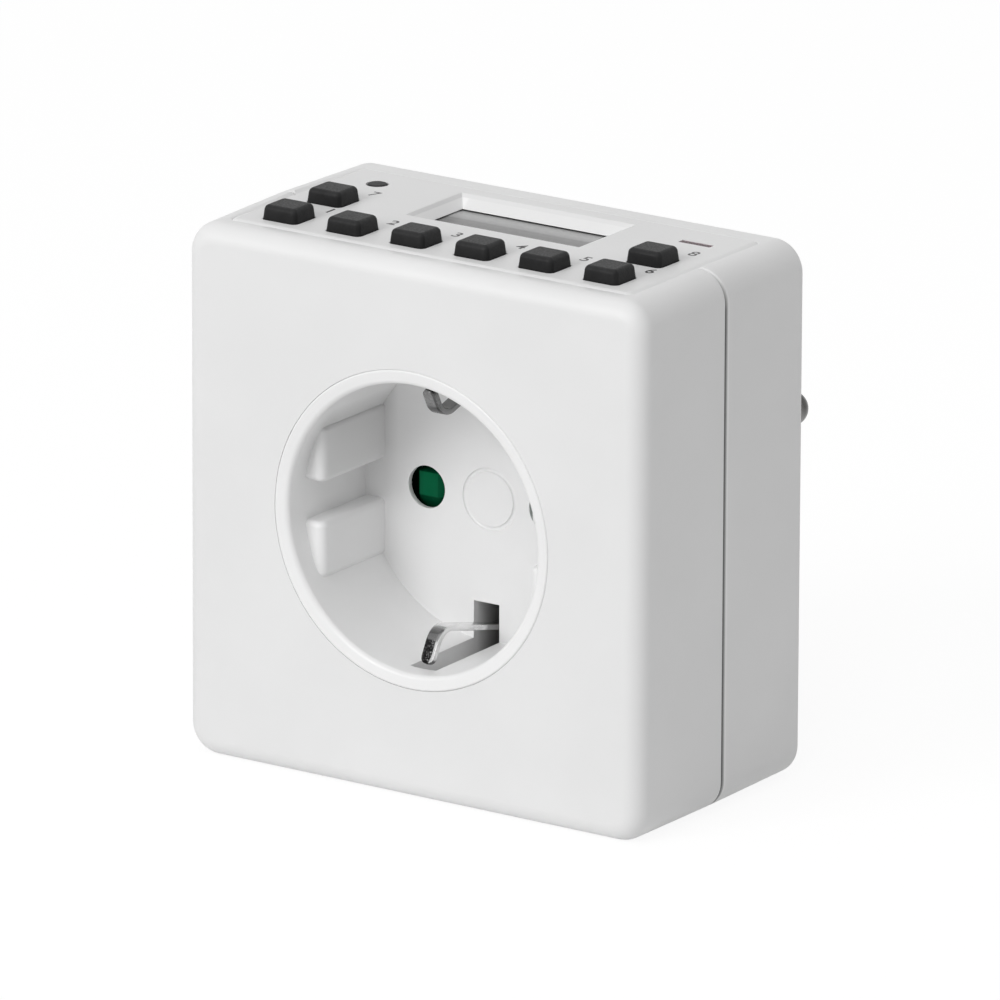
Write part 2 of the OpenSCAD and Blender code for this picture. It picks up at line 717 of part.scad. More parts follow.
module crystal() color([0.78, 0.78, 0.8]) on_axis()
    translate([14, seam_y + 6, board_z - 1.5]) rotate([-90, 0, 0]) {
        cylinder(r = 1.5, h = 7);
        for (sx = [-1, 1]) translate([sx * 0.7, -0.9, -2.2]) cylinder(r = 0.25, h = 2.3, $fn = 16);
    }

module ribbon_cable() color([0.75, 0.76, 0.78]) on_axis() {
    y = cable_y;
    in_y = seam_y + board_d / 2 - 0.4;
    bent_strip([[in_y, board_z], [in_y, board_z - 4], [y, board_z - 9], [y, 0],
        [y, power_z + 9], [in_y, power_z + 4], [in_y, power_z]], 0.8, cable_w, cable_x);
}

// ---------- socket ----------

// Rim and wall of the cup, as [radius, depth] points: the rim's cone touches both round edges
function cup_profile() = let (
    fall = ((rim_w - mouth_edge - rim_edge) * sin(rim_lean) + mouth_edge - rim_edge) / cos(rim_lean))
    concat(
    arc(mouth_r + mouth_edge, fall + rim_edge - rim_rise, mouth_edge, 180, 270 - rim_lean, 6),
    arc(rim_r - rim_edge, rim_edge - rim_rise, rim_edge, 270 - rim_lean, 360, 4),
    [[rim_r, flange_y], [flange_r, flange_y],
        [flange_r, flange_y + flange_t], [cup_r, flange_y + flange_t],
        [cup_r - 0.3, floor_back], [0, floor_back], [0, recess_depth],
        [floor_r, recess_depth]]);

// A guide rib: its front end leans back towards the wall and has a rounded nose
module guide_rib() {
    nose = rib_nose;
    x = rib_span / 2 + nose;
    y = rib_setback + nose;
    back = mouth_r + 0.5;
    translate([0, 0, rib_z]) linear_extrude(rib_h) polygon(concat(
        [[back, recess_depth + 0.5], [x - nose, recess_depth + 0.5]],
        arc(x, y, nose, 180, 270 + rib_lean, 6),
        [[back, y - nose * cos(rib_lean) + (back - x - nose * sin(rib_lean)) * tan(rib_lean)]]));
}

// Channel in the wall and slot through the floor, for the bottom earth clip
module clip_slot() {
    back = floor_back + clip_room + 1;
    translate([-slot_w / 2, 0, 0]) rotate([90, 0, 90]) linear_extrude(slot_w)
        polygon([[3, -slot_z], [back, -slot_z], [back, -slot_z + slot_h],
            [recess_depth - 1, -slot_z + slot_h], [recess_depth - 1, -mouth_r + 2],
            [3, -mouth_r + 2]]);
}

// Trough outside the wall and sleeve behind the floor that close in a clip, reaching in to z1
module clip_housing(z1) {
    x = slot_w / 2 + room_wall;
    block([-x, flange_y + flange_t - overlap, -slot_z - room_wall], [x, floor_back, -mouth_r - 0.4]);
    block([-x, floor_back - overlap, -slot_z - room_wall], [x, floor_back + clip_room, z1]);
}

module socket_insert() color([0.94, 0.94, 0.94]) on_axis() difference() {
    union() {
        difference() {
            union() {
                spun(cup_profile());
                // rails that the shutter slides between, and that carry the contact carrier
                for (sx = [0, 1]) mirror([sx, 0, 0])
                    block([carrier_w / 2 - rail_w, floor_back - overlap, carrier_low],
                        [carrier_w / 2, carrier_y, shutter_h / 2 + shutter_travel + 1]);
                // ledge that stops the shutter at the bottom
                block([-carrier_w / 2, floor_back - overlap, carrier_low],
                    [carrier_w / 2, carrier_y, -shutter_h / 2 - 0.2]);
                // screw bosses
                for (sx = [-1, 1]) bar_y(ear_r, floor_back - overlap, carrier_y, sx * ear_x);
                clip_housing(-slot_z + slot_h + room_wall);
                mirror([0, 0, 1]) clip_housing(-carrier_high - part_gap);
            }
            for (sz = [0, 1]) mirror([0, 0, sz]) clip_slot();
            for (sx = [-1, 1]) bar_y(pin_hole_r, recess_depth - 1, carrier_y, sx * pin_pitch / 2);
            // round panel sunk in the middle of the floor
            bar_y(4.3, recess_depth - 1, recess_depth + 0.12);
        }
        intersection() {
            for (sx = [0, 1], sz = [0, 1]) mirror([sx, 0, 0]) mirror([0, 0, sz]) guide_rib();
            bar_y(mouth_r + 0.4, 0, recess_depth + 0.5);
        }
    }
    for (sx = [-1, 1]) bar_y(0.85, recess_depth + 0.6, carrier_y + 1, sx * ear_x);
}

module shutter() color([0, 0.42, 0.28]) on_axis() {
    half_w = carrier_w / 2 - rail_w - seat_fit;
    y0 = floor_back + 0.2;
    y1 = y0 + shutter_t;
    z1 = shutter_h / 2;
    // the two ramped blades in front of the pin holes, and the bridge that joins them
    for (sx = [0, 1]) mirror([sx, 0, 0]) translate([2.6, 0, 0]) rotate([90, 0, 90])
        linear_extrude(half_w - 2.6) polygon([[y1 - 0.5, -z1], [y1, -z1], [y1, z1], [y0, z1],
            [y0, z1 - 2.4]]);
    difference() {
        block([-2.6 - overlap, y1 - 1, -z1], [2.6 + overlap, y1, z1]);
        block([-1.2, 0, -z1 - 1], [1.2, casing_d, -z1 + 2]);
    }
}

module shutter_spring() color([0.8, 0.8, 0.82]) on_axis() {
    z0 = shutter_h / 2 + spring_wire / 2;
    z1 = spring_top - spring_wire / 2;
    r = (spring_d - spring_wire) / 2;
    y = floor_back + 0.4 + spring_d / 2;
    steps = spring_turns * 12;
    line = [for (i = [0:steps]) let (a = 360 * spring_turns * i / steps)
        [r * cos(a), y + r * sin(a), z0 + (z1 - z0) * i / steps]];
    rings = [for (i = [0:steps]) let (
            a = 360 * spring_turns * i / steps, out = [cos(a), sin(a), 0],
            t = heading(line, i), up = cross(t, out))
        [for (k = [0:5]) line[i] + spring_wire / 2 * (cos(60 * k) * out + sin(60 * k) * up)]];
    polyhedron([for (r6 = rings) each r6], concat([[5, 4, 3, 2, 1, 0]],
        [for (i = [0:steps - 1], k = [0:5])
            [i * 6 + k, i * 6 + (k + 1) % 6, (i + 1) * 6 + (k + 1) % 6, (i + 1) * 6 + k]],
        [[for (k = [0:5]) steps * 6 + k]]), convexity = 12);
}

module contact_carrier() color([0.88, 0.87, 0.84]) on_axis() difference() {
    union() {
        block([-carrier_w / 2, carrier_y, carrier_low], [carrier_w / 2, carrier_back, 7.5]);
        block([-7, carrier_y, 7.5 - overlap], [7, carrier_y + 4, carrier_high]);
        for (sx = [0, 1]) mirror([sx, 0, 0]) {
            bar_y(ear_r + 0.3, carrier_y, carrier_y + ear_t, ear_x);
            block([carrier_w / 2 - 1, carrier_y, -ear_r - 0.6], [ear_x - 0.5, carrier_y + ear_t, ear_r + 0.6]);
        }
    }
    for (sx = [-1, 1]) {
        bar_y(pin_hole_r + 0.2, carrier_y - 1, carrier_y + 2, sx * pin_pitch / 2);
        // chamber for one contact, open behind
        block([sx * pin_pitch / 2 - 4.4, carrier_y + 1, contact_z - contact_t - 0.1],
            [sx * pin_pitch / 2 + 4.4, carrier_back + 1, 4.8]);
        bar_y(0.95, carrier_y - 1, carrier_y + ear_t + 1, sx * ear_x);
    }
    // groove for the shutter spring
    block([-spring_d / 2 - 0.2, carrier_y - 1, 3], [spring_d / 2 + 0.2, carrier_y + 2.1, spring_top + 0.2]);
}

module carrier_screws() color([0.75, 0.75, 0.77]) on_axis() for (sx = [-1, 1]) {
    y = carrier_y + ear_t;
    bar_y(0.8, floor_back - 0.6, y + 0.1, sx * ear_x);
    translate([sx * ear_x, 0, 0]) spun([[0, y], [1.7, y], [1.5, y + 0.8], [0, y + 1.2]]);
}

// A contact: two sprung leaves that grip the pin, on a base plate with a tail
module pin_contact(x) color([0.85, 0.68, 0.35]) on_axis() translate([x, 0, 0]) {
    y0 = carrier_y + 1.4;
    y1 = carrier_back - 0.4;
    g = contact_gap / 2 + contact_t / 2;
    for (sx = [0, 1]) mirror([sx, 0, 0]) translate([0, 0, contact_z - overlap])
        linear_extrude(contact_h) polygon(strip([[g + 0.9, y0], [g + 0.35, y0 + 1], [g, y0 + 2.4],
            [g + 0.1, y0 + 4.2], [g + 0.8, y1 - 0.8], [g + 0.9, y1]], contact_t));
    block([-g - 0.9 - contact_t / 2, y0 + 3, contact_z - contact_t],
        [g + 0.9 + contact_t / 2, y1, contact_z]);
    block([-2, y1 - overlap, contact_z - contact_t], [2, tab_back, contact_z]);
}

module live_contact() pin_contact(-pin_pitch / 2);
module neutral_contact() pin_contact(pin_pitch / 2);

module neutral_bar() color([0.85, 0.68, 0.35]) on_axis() translate([pin_pitch / 2, 0, 0]) {
    y0 = carrier_back + 0.2;
    y1 = clamp_y - 0.6;
    block([-2, y0, bar_low], [2, y1, bar_low + strip_t]);
    difference() {
        union() {
            block([-2, y1 - strip_t, bar_low], [2, y1, 0]);
            bar_y(3.2, y1 - strip_t, y1);
        }
        bar_y(tail_r + pin_fit, y1 - 2, y1 + 1);
    }
}

// ---------- earth ----------

// Line of the bottom clip from its tip, over the crest, to the back of the socket
function clip_line() = let (y = 7.35, z = -clip_span / 2 - strip_t / 2 - crest_r) concat(
    [[y + crest_r * cos(150) - 3.3 * sin(150), z + crest_r * sin(150) + 3.3 * cos(150)]],
    arc(y, z, crest_r, 150, 76, 6),
    [[floor_back + 1, -leg_z]]);

module socket_earth_clip() color([0.82, 0.82, 0.84]) on_axis() {
    for (sz = [0, 1]) mirror([0, 0, sz])
        bent_strip(concat(clip_line(), arc(bridge_y - 1, -leg_z + 1, 1, 270, 360, 3),
            [[bridge_y, -8]]), strip_t, clip_w);
    difference() {
        block([-bridge_w / 2, bridge_y - strip_t / 2, -8.5], [bridge_w / 2, bridge_y + strip_t / 2, 8.5]);
        bar_y(rivet_r + pin_fit, bridge_y - 2, bridge_y + 2);
    }
}

module plug_earth_clip() color([0.82, 0.82, 0.84]) on_axis() {
    bend_y = casing_d + 3;
    out_z = plug_flat_z;
    for (sz = [0, 1]) mirror([0, 0, sz])
        bent_strip(concat([[plug_bridge_y, 8]],
            arc(plug_bridge_y + 1, plug_leg_z - 1, 1, 180, 90, 3),
            [[bend_y, plug_leg_z], [bend_y + 1.4, out_z], [bend_y + 7, out_z + 0.25],
                [plug_y - 3.4, out_z], [plug_y - 2.2, out_z - 0.2]]), strip_t, plug_clip_w);
    difference() {
        block([-bridge_w / 2, plug_bridge_y - strip_t / 2, -8.5],
            [bridge_w / 2, plug_bridge_y + strip_t / 2, 8.5]);
        bar_y(rivet_r + pin_fit, plug_bridge_y - 2, plug_bridge_y + 2);
    }
}

module earth_rivet() color([0.8, 0.72, 0.5]) on_axis() {
    y0 = bridge_y - strip_t / 2;
    y1 = plug_bridge_y + strip_t / 2;
    bar_y(rivet_r, y0 - 0.1, y1 + 0.1);
    spun([[0, y1], [2.2, y1], [1.6, y1 + 0.9], [0, y1 + 1.1]]);
    spun([[0, y0], [0, y0 - 0.18], [1.9, y0 - 0.15], [2, y0]]);
}

// ---------- plug ----------

module plug_pin(x) color([0.8, 0.8, 0.82]) on_axis() translate([x, 0, 0]) {
    tip = plug_y + pin_len;
    nose = 1.4;
    spun(concat([[0, tail_end_y], [tail_r, tail_end_y], [tail_r, end_in_y - pin_flange_t],
        [pin_flange_r, end_in_y - pin_flange_t], [pin_flange_r, end_in_y],
        [shoulder_r, end_in_y], [shoulder_r, plug_y], [pin_r, plug_y], [pin_r, tip - nose]],
        [for (a = [15:15:90]) [pin_r - 1.1 * (1 - cos(a)) - (a == 90 ? pin_r - 1.1 : 0),
            tip - nose + nose * sin(a)]]));
}

module plug_pin_left() plug_pin(-pin_pitch / 2);
module plug_pin_right() plug_pin(pin_pitch / 2);

module pin_clamp() color([0.85, 0.85, 0.83]) on_axis() difference() {
    union() {
        intersection() {
            bar_y(boss_in_r - 0.3, clamp_y, clamp_y + clamp_t);
            block([-boss_in_w / 2 + 0.3, 0, -10], [boss_in_w / 2 - 0.3, plug_y, 10]);
        }
        // spacer that rests on the end wall between the pins
        bar_y(3, clamp_y, end_in_y);
    }
    for (sx = [-1, 1]) bar_y(tail_r + pin_fit, clamp_y - 1, clamp_y + clamp_t + 1, sx * pin_pitch / 2);
    bar_y(screw_d / 2 + 0.2, clamp_y - 1, end_in_y + 1);
}

module clamp_screw() color([0.75, 0.75, 0.77]) on_axis() {
    bar_y(screw_d / 2, clamp_y - 0.1, end_in_y + 2);
    spun([[0, clamp_y], [0, clamp_y - 1.8], [1.6, clamp_y - 1.6], [2.6, clamp_y - 0.8], [2.7, clamp_y]]);
}

// ---------- wiring ----------

module live_in_wire() color([0.4, 0.22, 0.1]) on_axis() {
    x = -pin_pitch / 2;
    y = board_y1 - 1.1;
    wire(smooth([[x, tail_end_y, 0], [x, tail_end_y - 3, -0.2], [x + 1.5, casing_d + 2, -4],
        [wire_x + wire_d, y, relay_top + 3], [wire_x, y, relay_top - 6],
        [wire_x, y, power_z + 3], [wire_x, y, power_z]], 5), wire_d / 2);
}

module live_out_wire() color([0.12, 0.12, 0.12]) on_axis() {
    x = -pin_pitch / 2;
    y = carrier_back - 4;
    low = contact_z - contact_t;
    wire(smooth([[wire_x, y, power_z], [wire_x, y, power_z + 4], [wire_x, y + 1, relay_top + 0.5],
        [x + 3, y + 3.5, low - 6.6], [x + 0.4, tab_back - 1.2, low - 3.6], [x, tab_back - 1.2, low]],
        5), wire_d / 2);
}

module neutral_wire() color([0.1, 0.25, 0.6]) on_axis() {
    x = pin_pitch / 2;
    y = tab_back - 1.2;
    end_y = board_y1 - 1.6;
    wire(smooth([[x, y + 0.6, bar_low], [x, y + 0.8, bar_low - 4], [x - 1.5, end_y - 0.1, power_z + 12.8],
        [x - 2, end_y, power_z + 3], [x - 2, end_y, power_z]], 5), wire_d / 2);
}

// ---------- power board ----------

module power_board() color([0.62, 0.48, 0.28]) on_axis()
    block([-power_w / 2, board_y0, power_z - board_t], [power_w / 2, board_y1, power_z]);

module relay() color([0.1, 0.2, 0.45]) on_axis()
    translate([-power_w / 2, relay_y, power_z]) difference() {
        cube([relay_l, relay_d, relay_h]);
        // vent nib corner and the step round the base
        translate([-1, -1, -1]) cube([relay_l + 2, 1.5, 1.6]);
    }

module film_capacitor() color([0.85, 0.75, 0.2]) on_axis()
    translate([film_x, film_y, power_z]) cube([film_l, film_d, film_h]);

module electrolytic_capacitor() color([0.1, 0.1, 0.12]) on_axis()
    translate([can_x, can_y, power_z]) rotate_extrude()
        polygon([[0, 0], [can_r - 0.4, 0], [can_r, 0.4], [can_r, 1.2], [can_r - 0.3, 1.6],
            [can_r, 2], [can_r, can_h - 0.4], [can_r - 0.4, can_h], [can_r - 1.4, can_h],
            [can_r - 1.4, can_h - 0.2], [0, can_h - 0.2]]);

module varistor() color([0.1, 0.3, 0.7]) on_axis()
    translate([varistor_x, varistor_y, power_z + varistor_r + 0.4]) {
        bar_y(varistor_r, -1.7, 1.7);
        for (sx = [-1, 1]) translate([sx * 2.5, sx * 0.6, -varistor_r - 0.4])
            cylinder(r = 0.35, h = 1.6, $fn = 16);
    }

module series_resistor() color([0.75, 0.68, 0.5]) on_axis()
    translate([resistor_x, board_y0 + 6, power_z + resistor_r + 0.3]) rotate([0, 90, 0]) {
        cylinder(r = resistor_r, h = resistor_l);
        translate([0, 0, -1.5]) cylinder(r = 0.4, h = resistor_l + 3, $fn = 16);
        for (z = [-1.4, resistor_l + 1.4]) translate([0, 0, z]) rotate([0, 90, 0])
            cylinder(r = 0.4, h = resistor_r + 0.3, $fn = 16);
    }

module backup_cell() color([0.8, 0.8, 0.82]) on_axis()
    translate([cell_x, board_y0 + cell_d / 2 + part_gap, power_z]) rotate_extrude()
        polygon([[0, 0], [cell_d / 2 - 1.2, 0], [cell_d / 2 - 1.2, 0.5], [cell_d / 2, 0.5],
            [cell_d / 2, cell_t - 0.6], [cell_d / 2 - 0.6, cell_t], [0, cell_t]]);

front_shell();
rear_shell();
control_panel();
socket_insert();
shutter();
shutter_spring();
contact_carrier();
carrier_screws();
live_contact();
neutral_contact();
neutral_bar();
socket_earth_clip();
plug_earth_clip();
earth_rivet();
plug_pin_left();
plug_pin_right();
pin_clamp();
clamp_screw();
live_in_wire();
live_out_wire();
neutral_wire();
power_board();
relay();
film_capacitor();
electrolytic_capacitor();
varistor();
series_resistor();
backup_cell();
ribbon_cable();
display_board();
processor();
crystal();
lcd_frame();
lcd_glass();
zebra_strips();
keypad_mat();
clock_key();
timer_key();
mode_key();
week_key();
hour_key();
minute_key();
random_key();
recall_key();
reset_key();
lamp();
lamp_window();
case_screws();
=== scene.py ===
import math

import bmesh
import bpy
from mathutils import Matrix, Vector


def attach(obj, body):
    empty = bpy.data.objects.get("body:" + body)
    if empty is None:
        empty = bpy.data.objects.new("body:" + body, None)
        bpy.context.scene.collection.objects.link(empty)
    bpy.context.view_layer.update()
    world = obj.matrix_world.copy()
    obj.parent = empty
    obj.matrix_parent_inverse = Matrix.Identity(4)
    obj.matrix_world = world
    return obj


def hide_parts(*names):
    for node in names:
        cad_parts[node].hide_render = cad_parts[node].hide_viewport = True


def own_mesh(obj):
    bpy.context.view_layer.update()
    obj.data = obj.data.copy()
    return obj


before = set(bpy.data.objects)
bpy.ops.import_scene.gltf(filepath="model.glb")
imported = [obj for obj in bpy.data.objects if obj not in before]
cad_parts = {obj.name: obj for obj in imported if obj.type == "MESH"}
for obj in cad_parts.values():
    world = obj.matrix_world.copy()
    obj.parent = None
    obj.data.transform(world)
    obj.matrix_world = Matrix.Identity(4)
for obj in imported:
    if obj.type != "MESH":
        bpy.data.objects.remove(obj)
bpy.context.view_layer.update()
mm = 0.001

# sizes in mm; y runs back from the socket, and 0 is the plug's end face
casing = {
    "front": -58.4, "seam": -39.4, "rear": -20.4, "low": -36.5, "high": 36.1,
    "halfWidth": 36.0, "draft": 0.265, "corner": 4.2, "frontEdge": 2.6, "rearEdge": 1.2, "wall": 2.0,
    "gap": 0.38, "seamEdge": 0.5,
}
postPlaces = [(sx * 30.5, z) for sx in (-1, 1) for z in (-30.5, 22.0)]


# small helpers for working on one piece at a time
def setDown():
    if bpy.context.object and bpy.context.object.mode != "OBJECT":
        bpy.ops.object.mode_set(mode="OBJECT")
    bpy.ops.object.select_all(action="DESELECT")


def pickUp(piece):
    setDown()
    piece.select_set(True)
    bpy.context.view_layer.objects.active = piece
    return piece


def leaveEdit():
    bpy.ops.object.mode_set(mode="OBJECT")


def settle():
    # place, turn and scale go into the mesh
    bpy.ops.object.transform_apply(location=True, rotation=True, scale=True)


def point(x, y, z):
    return Vector((x, y, z)) * mm


def addBlock(name, low, high):
    setDown()
    middle = [(a + b) / 2 for a, b in zip(low, high)]
    bpy.ops.mesh.primitive_cube_add(size=mm, location=point(*middle))
    piece = bpy.context.object
    piece.name = name
    piece.scale = [b - a for a, b in zip(low, high)]
    settle()
    return piece


def addRound(name, radius, start, end, x=0, z=0, sides=64, axis="Y"):
    setDown()
    middle = (start + end) / 2
    place, turn = {"Y": ((x, middle, z), (-math.pi / 2, 0, 0)), "Z": ((x, z, middle), (0, 0, 0))}[axis]
    bpy.ops.mesh.primitive_cylinder_add(vertices=sides, radius=radius * mm, depth=(end - start) * mm,
                                        location=point(*place), rotation=turn)
    piece = bpy.context.object
    piece.name = name
    settle()
    return piece


def edit(piece):
    pickUp(piece)
    bpy.ops.object.mode_set(mode="EDIT")


def chooseAll():
    bpy.ops.mesh.select_all(action="SELECT")


def choose(kind, test):
    bpy.ops.mesh.select_mode(type=kind)
    bpy.ops.mesh.select_all(action="DESELECT")
    mesh = bmesh.from_edit_mesh(bpy.context.object.data)
    for part in {"VERT": mesh.verts, "EDGE": mesh.edges, "FACE": mesh.faces}[kind]:
        if test(part):
            part.select_set(True)
    mesh.select_flush_mode()
    bmesh.update_edit_mesh(bpy.context.object.data)


def runsAlong(axis, least=0.5):
    def test(edge):
        a, b = edge.verts[0].co, edge.verts[1].co
        step = b - a
        return abs(step[axis]) > least * mm and abs(step[axis]) > 0.95 * step.length
    return test


def liesAt(axis, place):
    return lambda part: all(abs(v.co[axis] - place * mm) < 0.02 * mm for v in part.verts)


def roundEdges(test, width, steps=4):
    choose("EDGE", test)
    bpy.ops.mesh.bevel(offset=width * mm, offset_type="OFFSET", segments=steps, profile=0.5,
                       affect="EDGES", clamp_overlap=False)


def useModifier(piece, kind, **values):
    pickUp(piece)
    modifier = piece.modifiers.new(kind.lower(), kind)
    for name, value in values.items():
        setattr(modifier, name, value)
    bpy.ops.object.modifier_apply(modifier=modifier.name)


def combine(piece, tool, how):
    useModifier(piece, "BOOLEAN", object=tool, operation=how, solver="EXACT")
    bpy.data.objects.remove(tool, do_unlink=True)


def cutAway(piece, *tools):
    for tool in tools:
        combine(piece, tool, "DIFFERENCE")


def joinOn(piece, *tools):
    for tool in tools:
        combine(piece, tool, "UNION")


def copyOf(piece, name, shift=(0, 0, 0), mirror=None):
    twin = piece.copy()
    twin.data = piece.data.copy()
    twin.name = name
    bpy.context.collection.objects.link(twin)
    if mirror is not None:
        twin.data.transform(Matrix.Diagonal((-1 if mirror == 0 else 1, -1 if mirror == 1 else 1,
                                             -1 if mirror == 2 else 1, 1)))
        twin.data.flip_normals()
    twin.data.transform(Matrix.Translation(point(*shift)))
    return twin


def tidyUp(piece, edge=0.0, angle=35, smooth=32, merge=0.002):
    edit(piece)
    chooseAll()
    bpy.ops.mesh.remove_doubles(threshold=merge * mm)
    bpy.ops.mesh.dissolve_degenerate(threshold=merge * mm)
    bpy.ops.mesh.normals_make_consistent(inside=False)
    leaveEdit()
    if edge:
        useModifier(piece, "BEVEL", width=edge * mm, segments=2, limit_method="ANGLE",
                    angle_limit=math.radians(angle), use_clamp_overlap=True, miter_outer="MITER_ARC")
    pickUp(piece)
    bpy.ops.object.shade_smooth_by_angle(angle=math.radians(smooth))
    useModifier(piece, "WEIGHTED_NORMAL", mode="FACE_AREA", weight=60, keep_sharp=True)
    return piece


def place(piece, body, slot, finish, *nodes):
    piece.data.materials.clear()
    piece.data.materials.append(finish)
    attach(piece, body)
    if nodes:
        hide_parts(*nodes)


# small helpers for node trees
def alongAxis(tree, axis):
    # one of the object's own coordinates; |X| is the distance from the middle plane
    where = tree.nodes.new("ShaderNodeTexCoord")
    split = tree.nodes.new("ShaderNodeSeparateXYZ")
    tree.links.new(where.outputs["Object"], split.inputs[0])
    value = split.outputs[axis.strip("|")]
    return worked(tree, "ABSOLUTE", value) if axis[0] == "|" else value


def fitted(tree, value, low, high, start=0.0, end=1.0):
    # low to high becomes start to end
    reach = tree.nodes.new("ShaderNodeMapRange")
    for name, number in (("From Min", low), ("From Max", high), ("To Min", start), ("To Max", end)):
        reach.inputs[name].default_value = number
    tree.links.new(value, reach.inputs["Value"])
    return reach.outputs["Result"]


def worked(tree, how, one, other=0.0):
    node = tree.nodes.new("ShaderNodeMath")
    node.operation = how
    tree.links.new(one, node.inputs[0])
    if isinstance(other, float):
        node.inputs[1].default_value = other
    else:
        tree.links.new(other, node.inputs[1])
    return node.outputs[0]


def greys(tree, value, stops, origin=0.0, unit=mm):
    # a stop is a place, in mm from the origin, and its tone
    low, high = stops[0][0], stops[-1][0]
    ramp = tree.nodes.new("ShaderNodeValToRGB")
    marks = ramp.color_ramp.elements
    while len(marks) < len(stops):
        marks.new(0.5)
    for mark, (at, tone) in zip(marks, stops):
        mark.position = (at - low) / (high - low)
        mark.color = (tone, tone, tone, 1)
    tree.links.new(fitted(tree, value, (origin + low) * unit, (origin + high) * unit), ramp.inputs["Fac"])
    return ramp.outputs["Color"]


def times(tree, one, other):
    blend = tree.nodes.new("ShaderNodeVectorMath")
    blend.operation = "MULTIPLY"
    tree.links.new(one, blend.inputs[0])
    tree.links.new(other, blend.inputs[1])
    return blend.outputs["Vector"]


def mixed(tree, factor, one, other):
    pick = tree.nodes.new("ShaderNodeMix")
    pick.data_type = "RGBA"
    tree.links.new(factor, pick.inputs["Factor"])
    tree.links.new(one, pick.inputs["A"])
    tree.links.new(other, pick.inputs["B"])
    return pick.outputs["Result"]


# camera, floor and light first
camera = {"yaw": 34.185, "pitch": 16.782, "roll": 0.235, "distance": 1842.7, "lens": 509.6,
          "aim": (0, -36.4, -0.5), "across": 0.837, "upward": 0.72}


def addCamera(c):
    yaw, pitch, roll = (math.radians(c[k]) for k in ("yaw", "pitch", "roll"))
    back = Vector((math.sin(yaw) * math.cos(pitch), -math.cos(yaw) * math.cos(pitch), math.sin(pitch)))
    right = Vector((math.cos(yaw), math.sin(yaw), 0))
    up = back.cross(right)
    turnedRight = right * math.cos(roll) + up * math.sin(roll)
    turnedUp = up * math.cos(roll) - right * math.sin(roll)
    spot = (Vector(c["aim"]) + back * c["distance"] - turnedRight * c["across"] - turnedUp * c["upward"]) * mm
    setDown()
    bpy.ops.object.camera_add()
    eye = bpy.context.object
    eye.name = "studioCamera"
    turn = Matrix((turnedRight, turnedUp, back)).transposed().to_4x4()
    eye.matrix_world = Matrix.Translation(spot) @ turn
    eye.data.sensor_width = 36
    eye.data.lens = c["lens"]
    eye.data.clip_start = 0.05
    eye.data.clip_end = 20
    bpy.context.scene.camera = eye


studio = {
    "world": 0.36, "floorWhite": 0.9, "floorSize": 6, "floorGlow": 1.05, "floorShare": 0.86,
    "aim": (0, -40, 0),
    # name, place in metres, size, watts
    "lamps": [("frontLamp", (-0.55, -1.8, 1.0), 1.1, 17.5),
              ("topLamp", (-0.1, -0.2, 1.9), 1.6, 7.2),
              ("fillLamp", (0.65, -1.5, 1.65), 0.7, 6.2)],
}


def emptied(tree, kind):
    tree.nodes.clear()
    return tree.nodes.new(kind)


def paintNode(tree, kind, tone, strength=None):
    node = tree.nodes.new(kind)
    node.inputs["Color"].default_value = (tone, tone, tone, 1)
    if strength is not None:
        node.inputs["Strength"].default_value = strength
    return node.outputs[0]


def shownTo(tree, out, kinds, share, lighting, seen):
    # the named kinds of ray meet what is seen, all others what gives the light
    rays = tree.nodes.new("ShaderNodeLightPath")
    either = rays.outputs[kinds[0]]
    for kind in kinds[1:]:
        either = worked(tree, "MAXIMUM", either, rays.outputs[kind])
    mix = tree.nodes.new("ShaderNodeMixShader")
    tree.links.new(worked(tree, "MULTIPLY", either, share), mix.inputs[0])
    tree.links.new(lighting, mix.inputs[1])
    tree.links.new(seen, mix.inputs[2])
    tree.links.new(mix.outputs[0], out.inputs[0])


def addStudio(s):
    scene = bpy.context.scene
    scene.view_settings.view_transform = "Standard"
    world = bpy.data.worlds.new("studioWorld")
    scene.world = world
    world.use_nodes = True
    tree = world.node_tree
    out = emptied(tree, "ShaderNodeOutputWorld")
    shownTo(tree, out, ("Is Camera Ray", "Is Glossy Ray", "Is Transmission Ray"), 1.0,
            paintNode(tree, "ShaderNodeBackground", 1, s["world"]),
            paintNode(tree, "ShaderNodeBackground", 1, 1))

    # pale floor that turns white for the camera and keeps a soft shadow
    setDown()
    bpy.ops.mesh.primitive_plane_add(size=s["floorSize"], location=point(0, 0, casing["low"]))
    floor = bpy.context.object
    floor.name = "studioFloor"
    paint = bpy.data.materials.new("floorPaint")
    paint.use_nodes = True
    tree = paint.node_tree
    out = emptied(tree, "ShaderNodeOutputMaterial")
    shownTo(tree, out, ("Is Camera Ray", "Is Glossy Ray"), s["floorShare"],
            paintNode(tree, "ShaderNodeBsdfDiffuse", s["floorWhite"]),
            paintNode(tree, "ShaderNodeEmission", 1, s["floorGlow"]))
    floor.data.materials.append(paint)

    for name, spot, size, watts in s["lamps"]:
        setDown()
        bpy.ops.object.light_add(type="AREA", location=spot)
        lamp = bpy.context.object
        lamp.name = name
        lamp.data.shape = "DISK"
        lamp.data.size = size
        lamp.data.energy = watts
        aim = point(*s["aim"]) - Vector(spot)
        lamp.rotation_euler = aim.to_track_quat("-Z", "Y").to_euler()


addCamera(camera)
addStudio(studio)
print("stage ready")


# finishes
def newFinish(name, rough=0.5, metal=0.0):
    paint = bpy.data.materials.new(name)
    paint.use_nodes = True
    shader = paint.node_tree.nodes["Principled BSDF"]
    shader.inputs["Roughness"].default_value = rough
    shader.inputs["Metallic"].default_value = metal
    return paint, paint.node_tree, shader


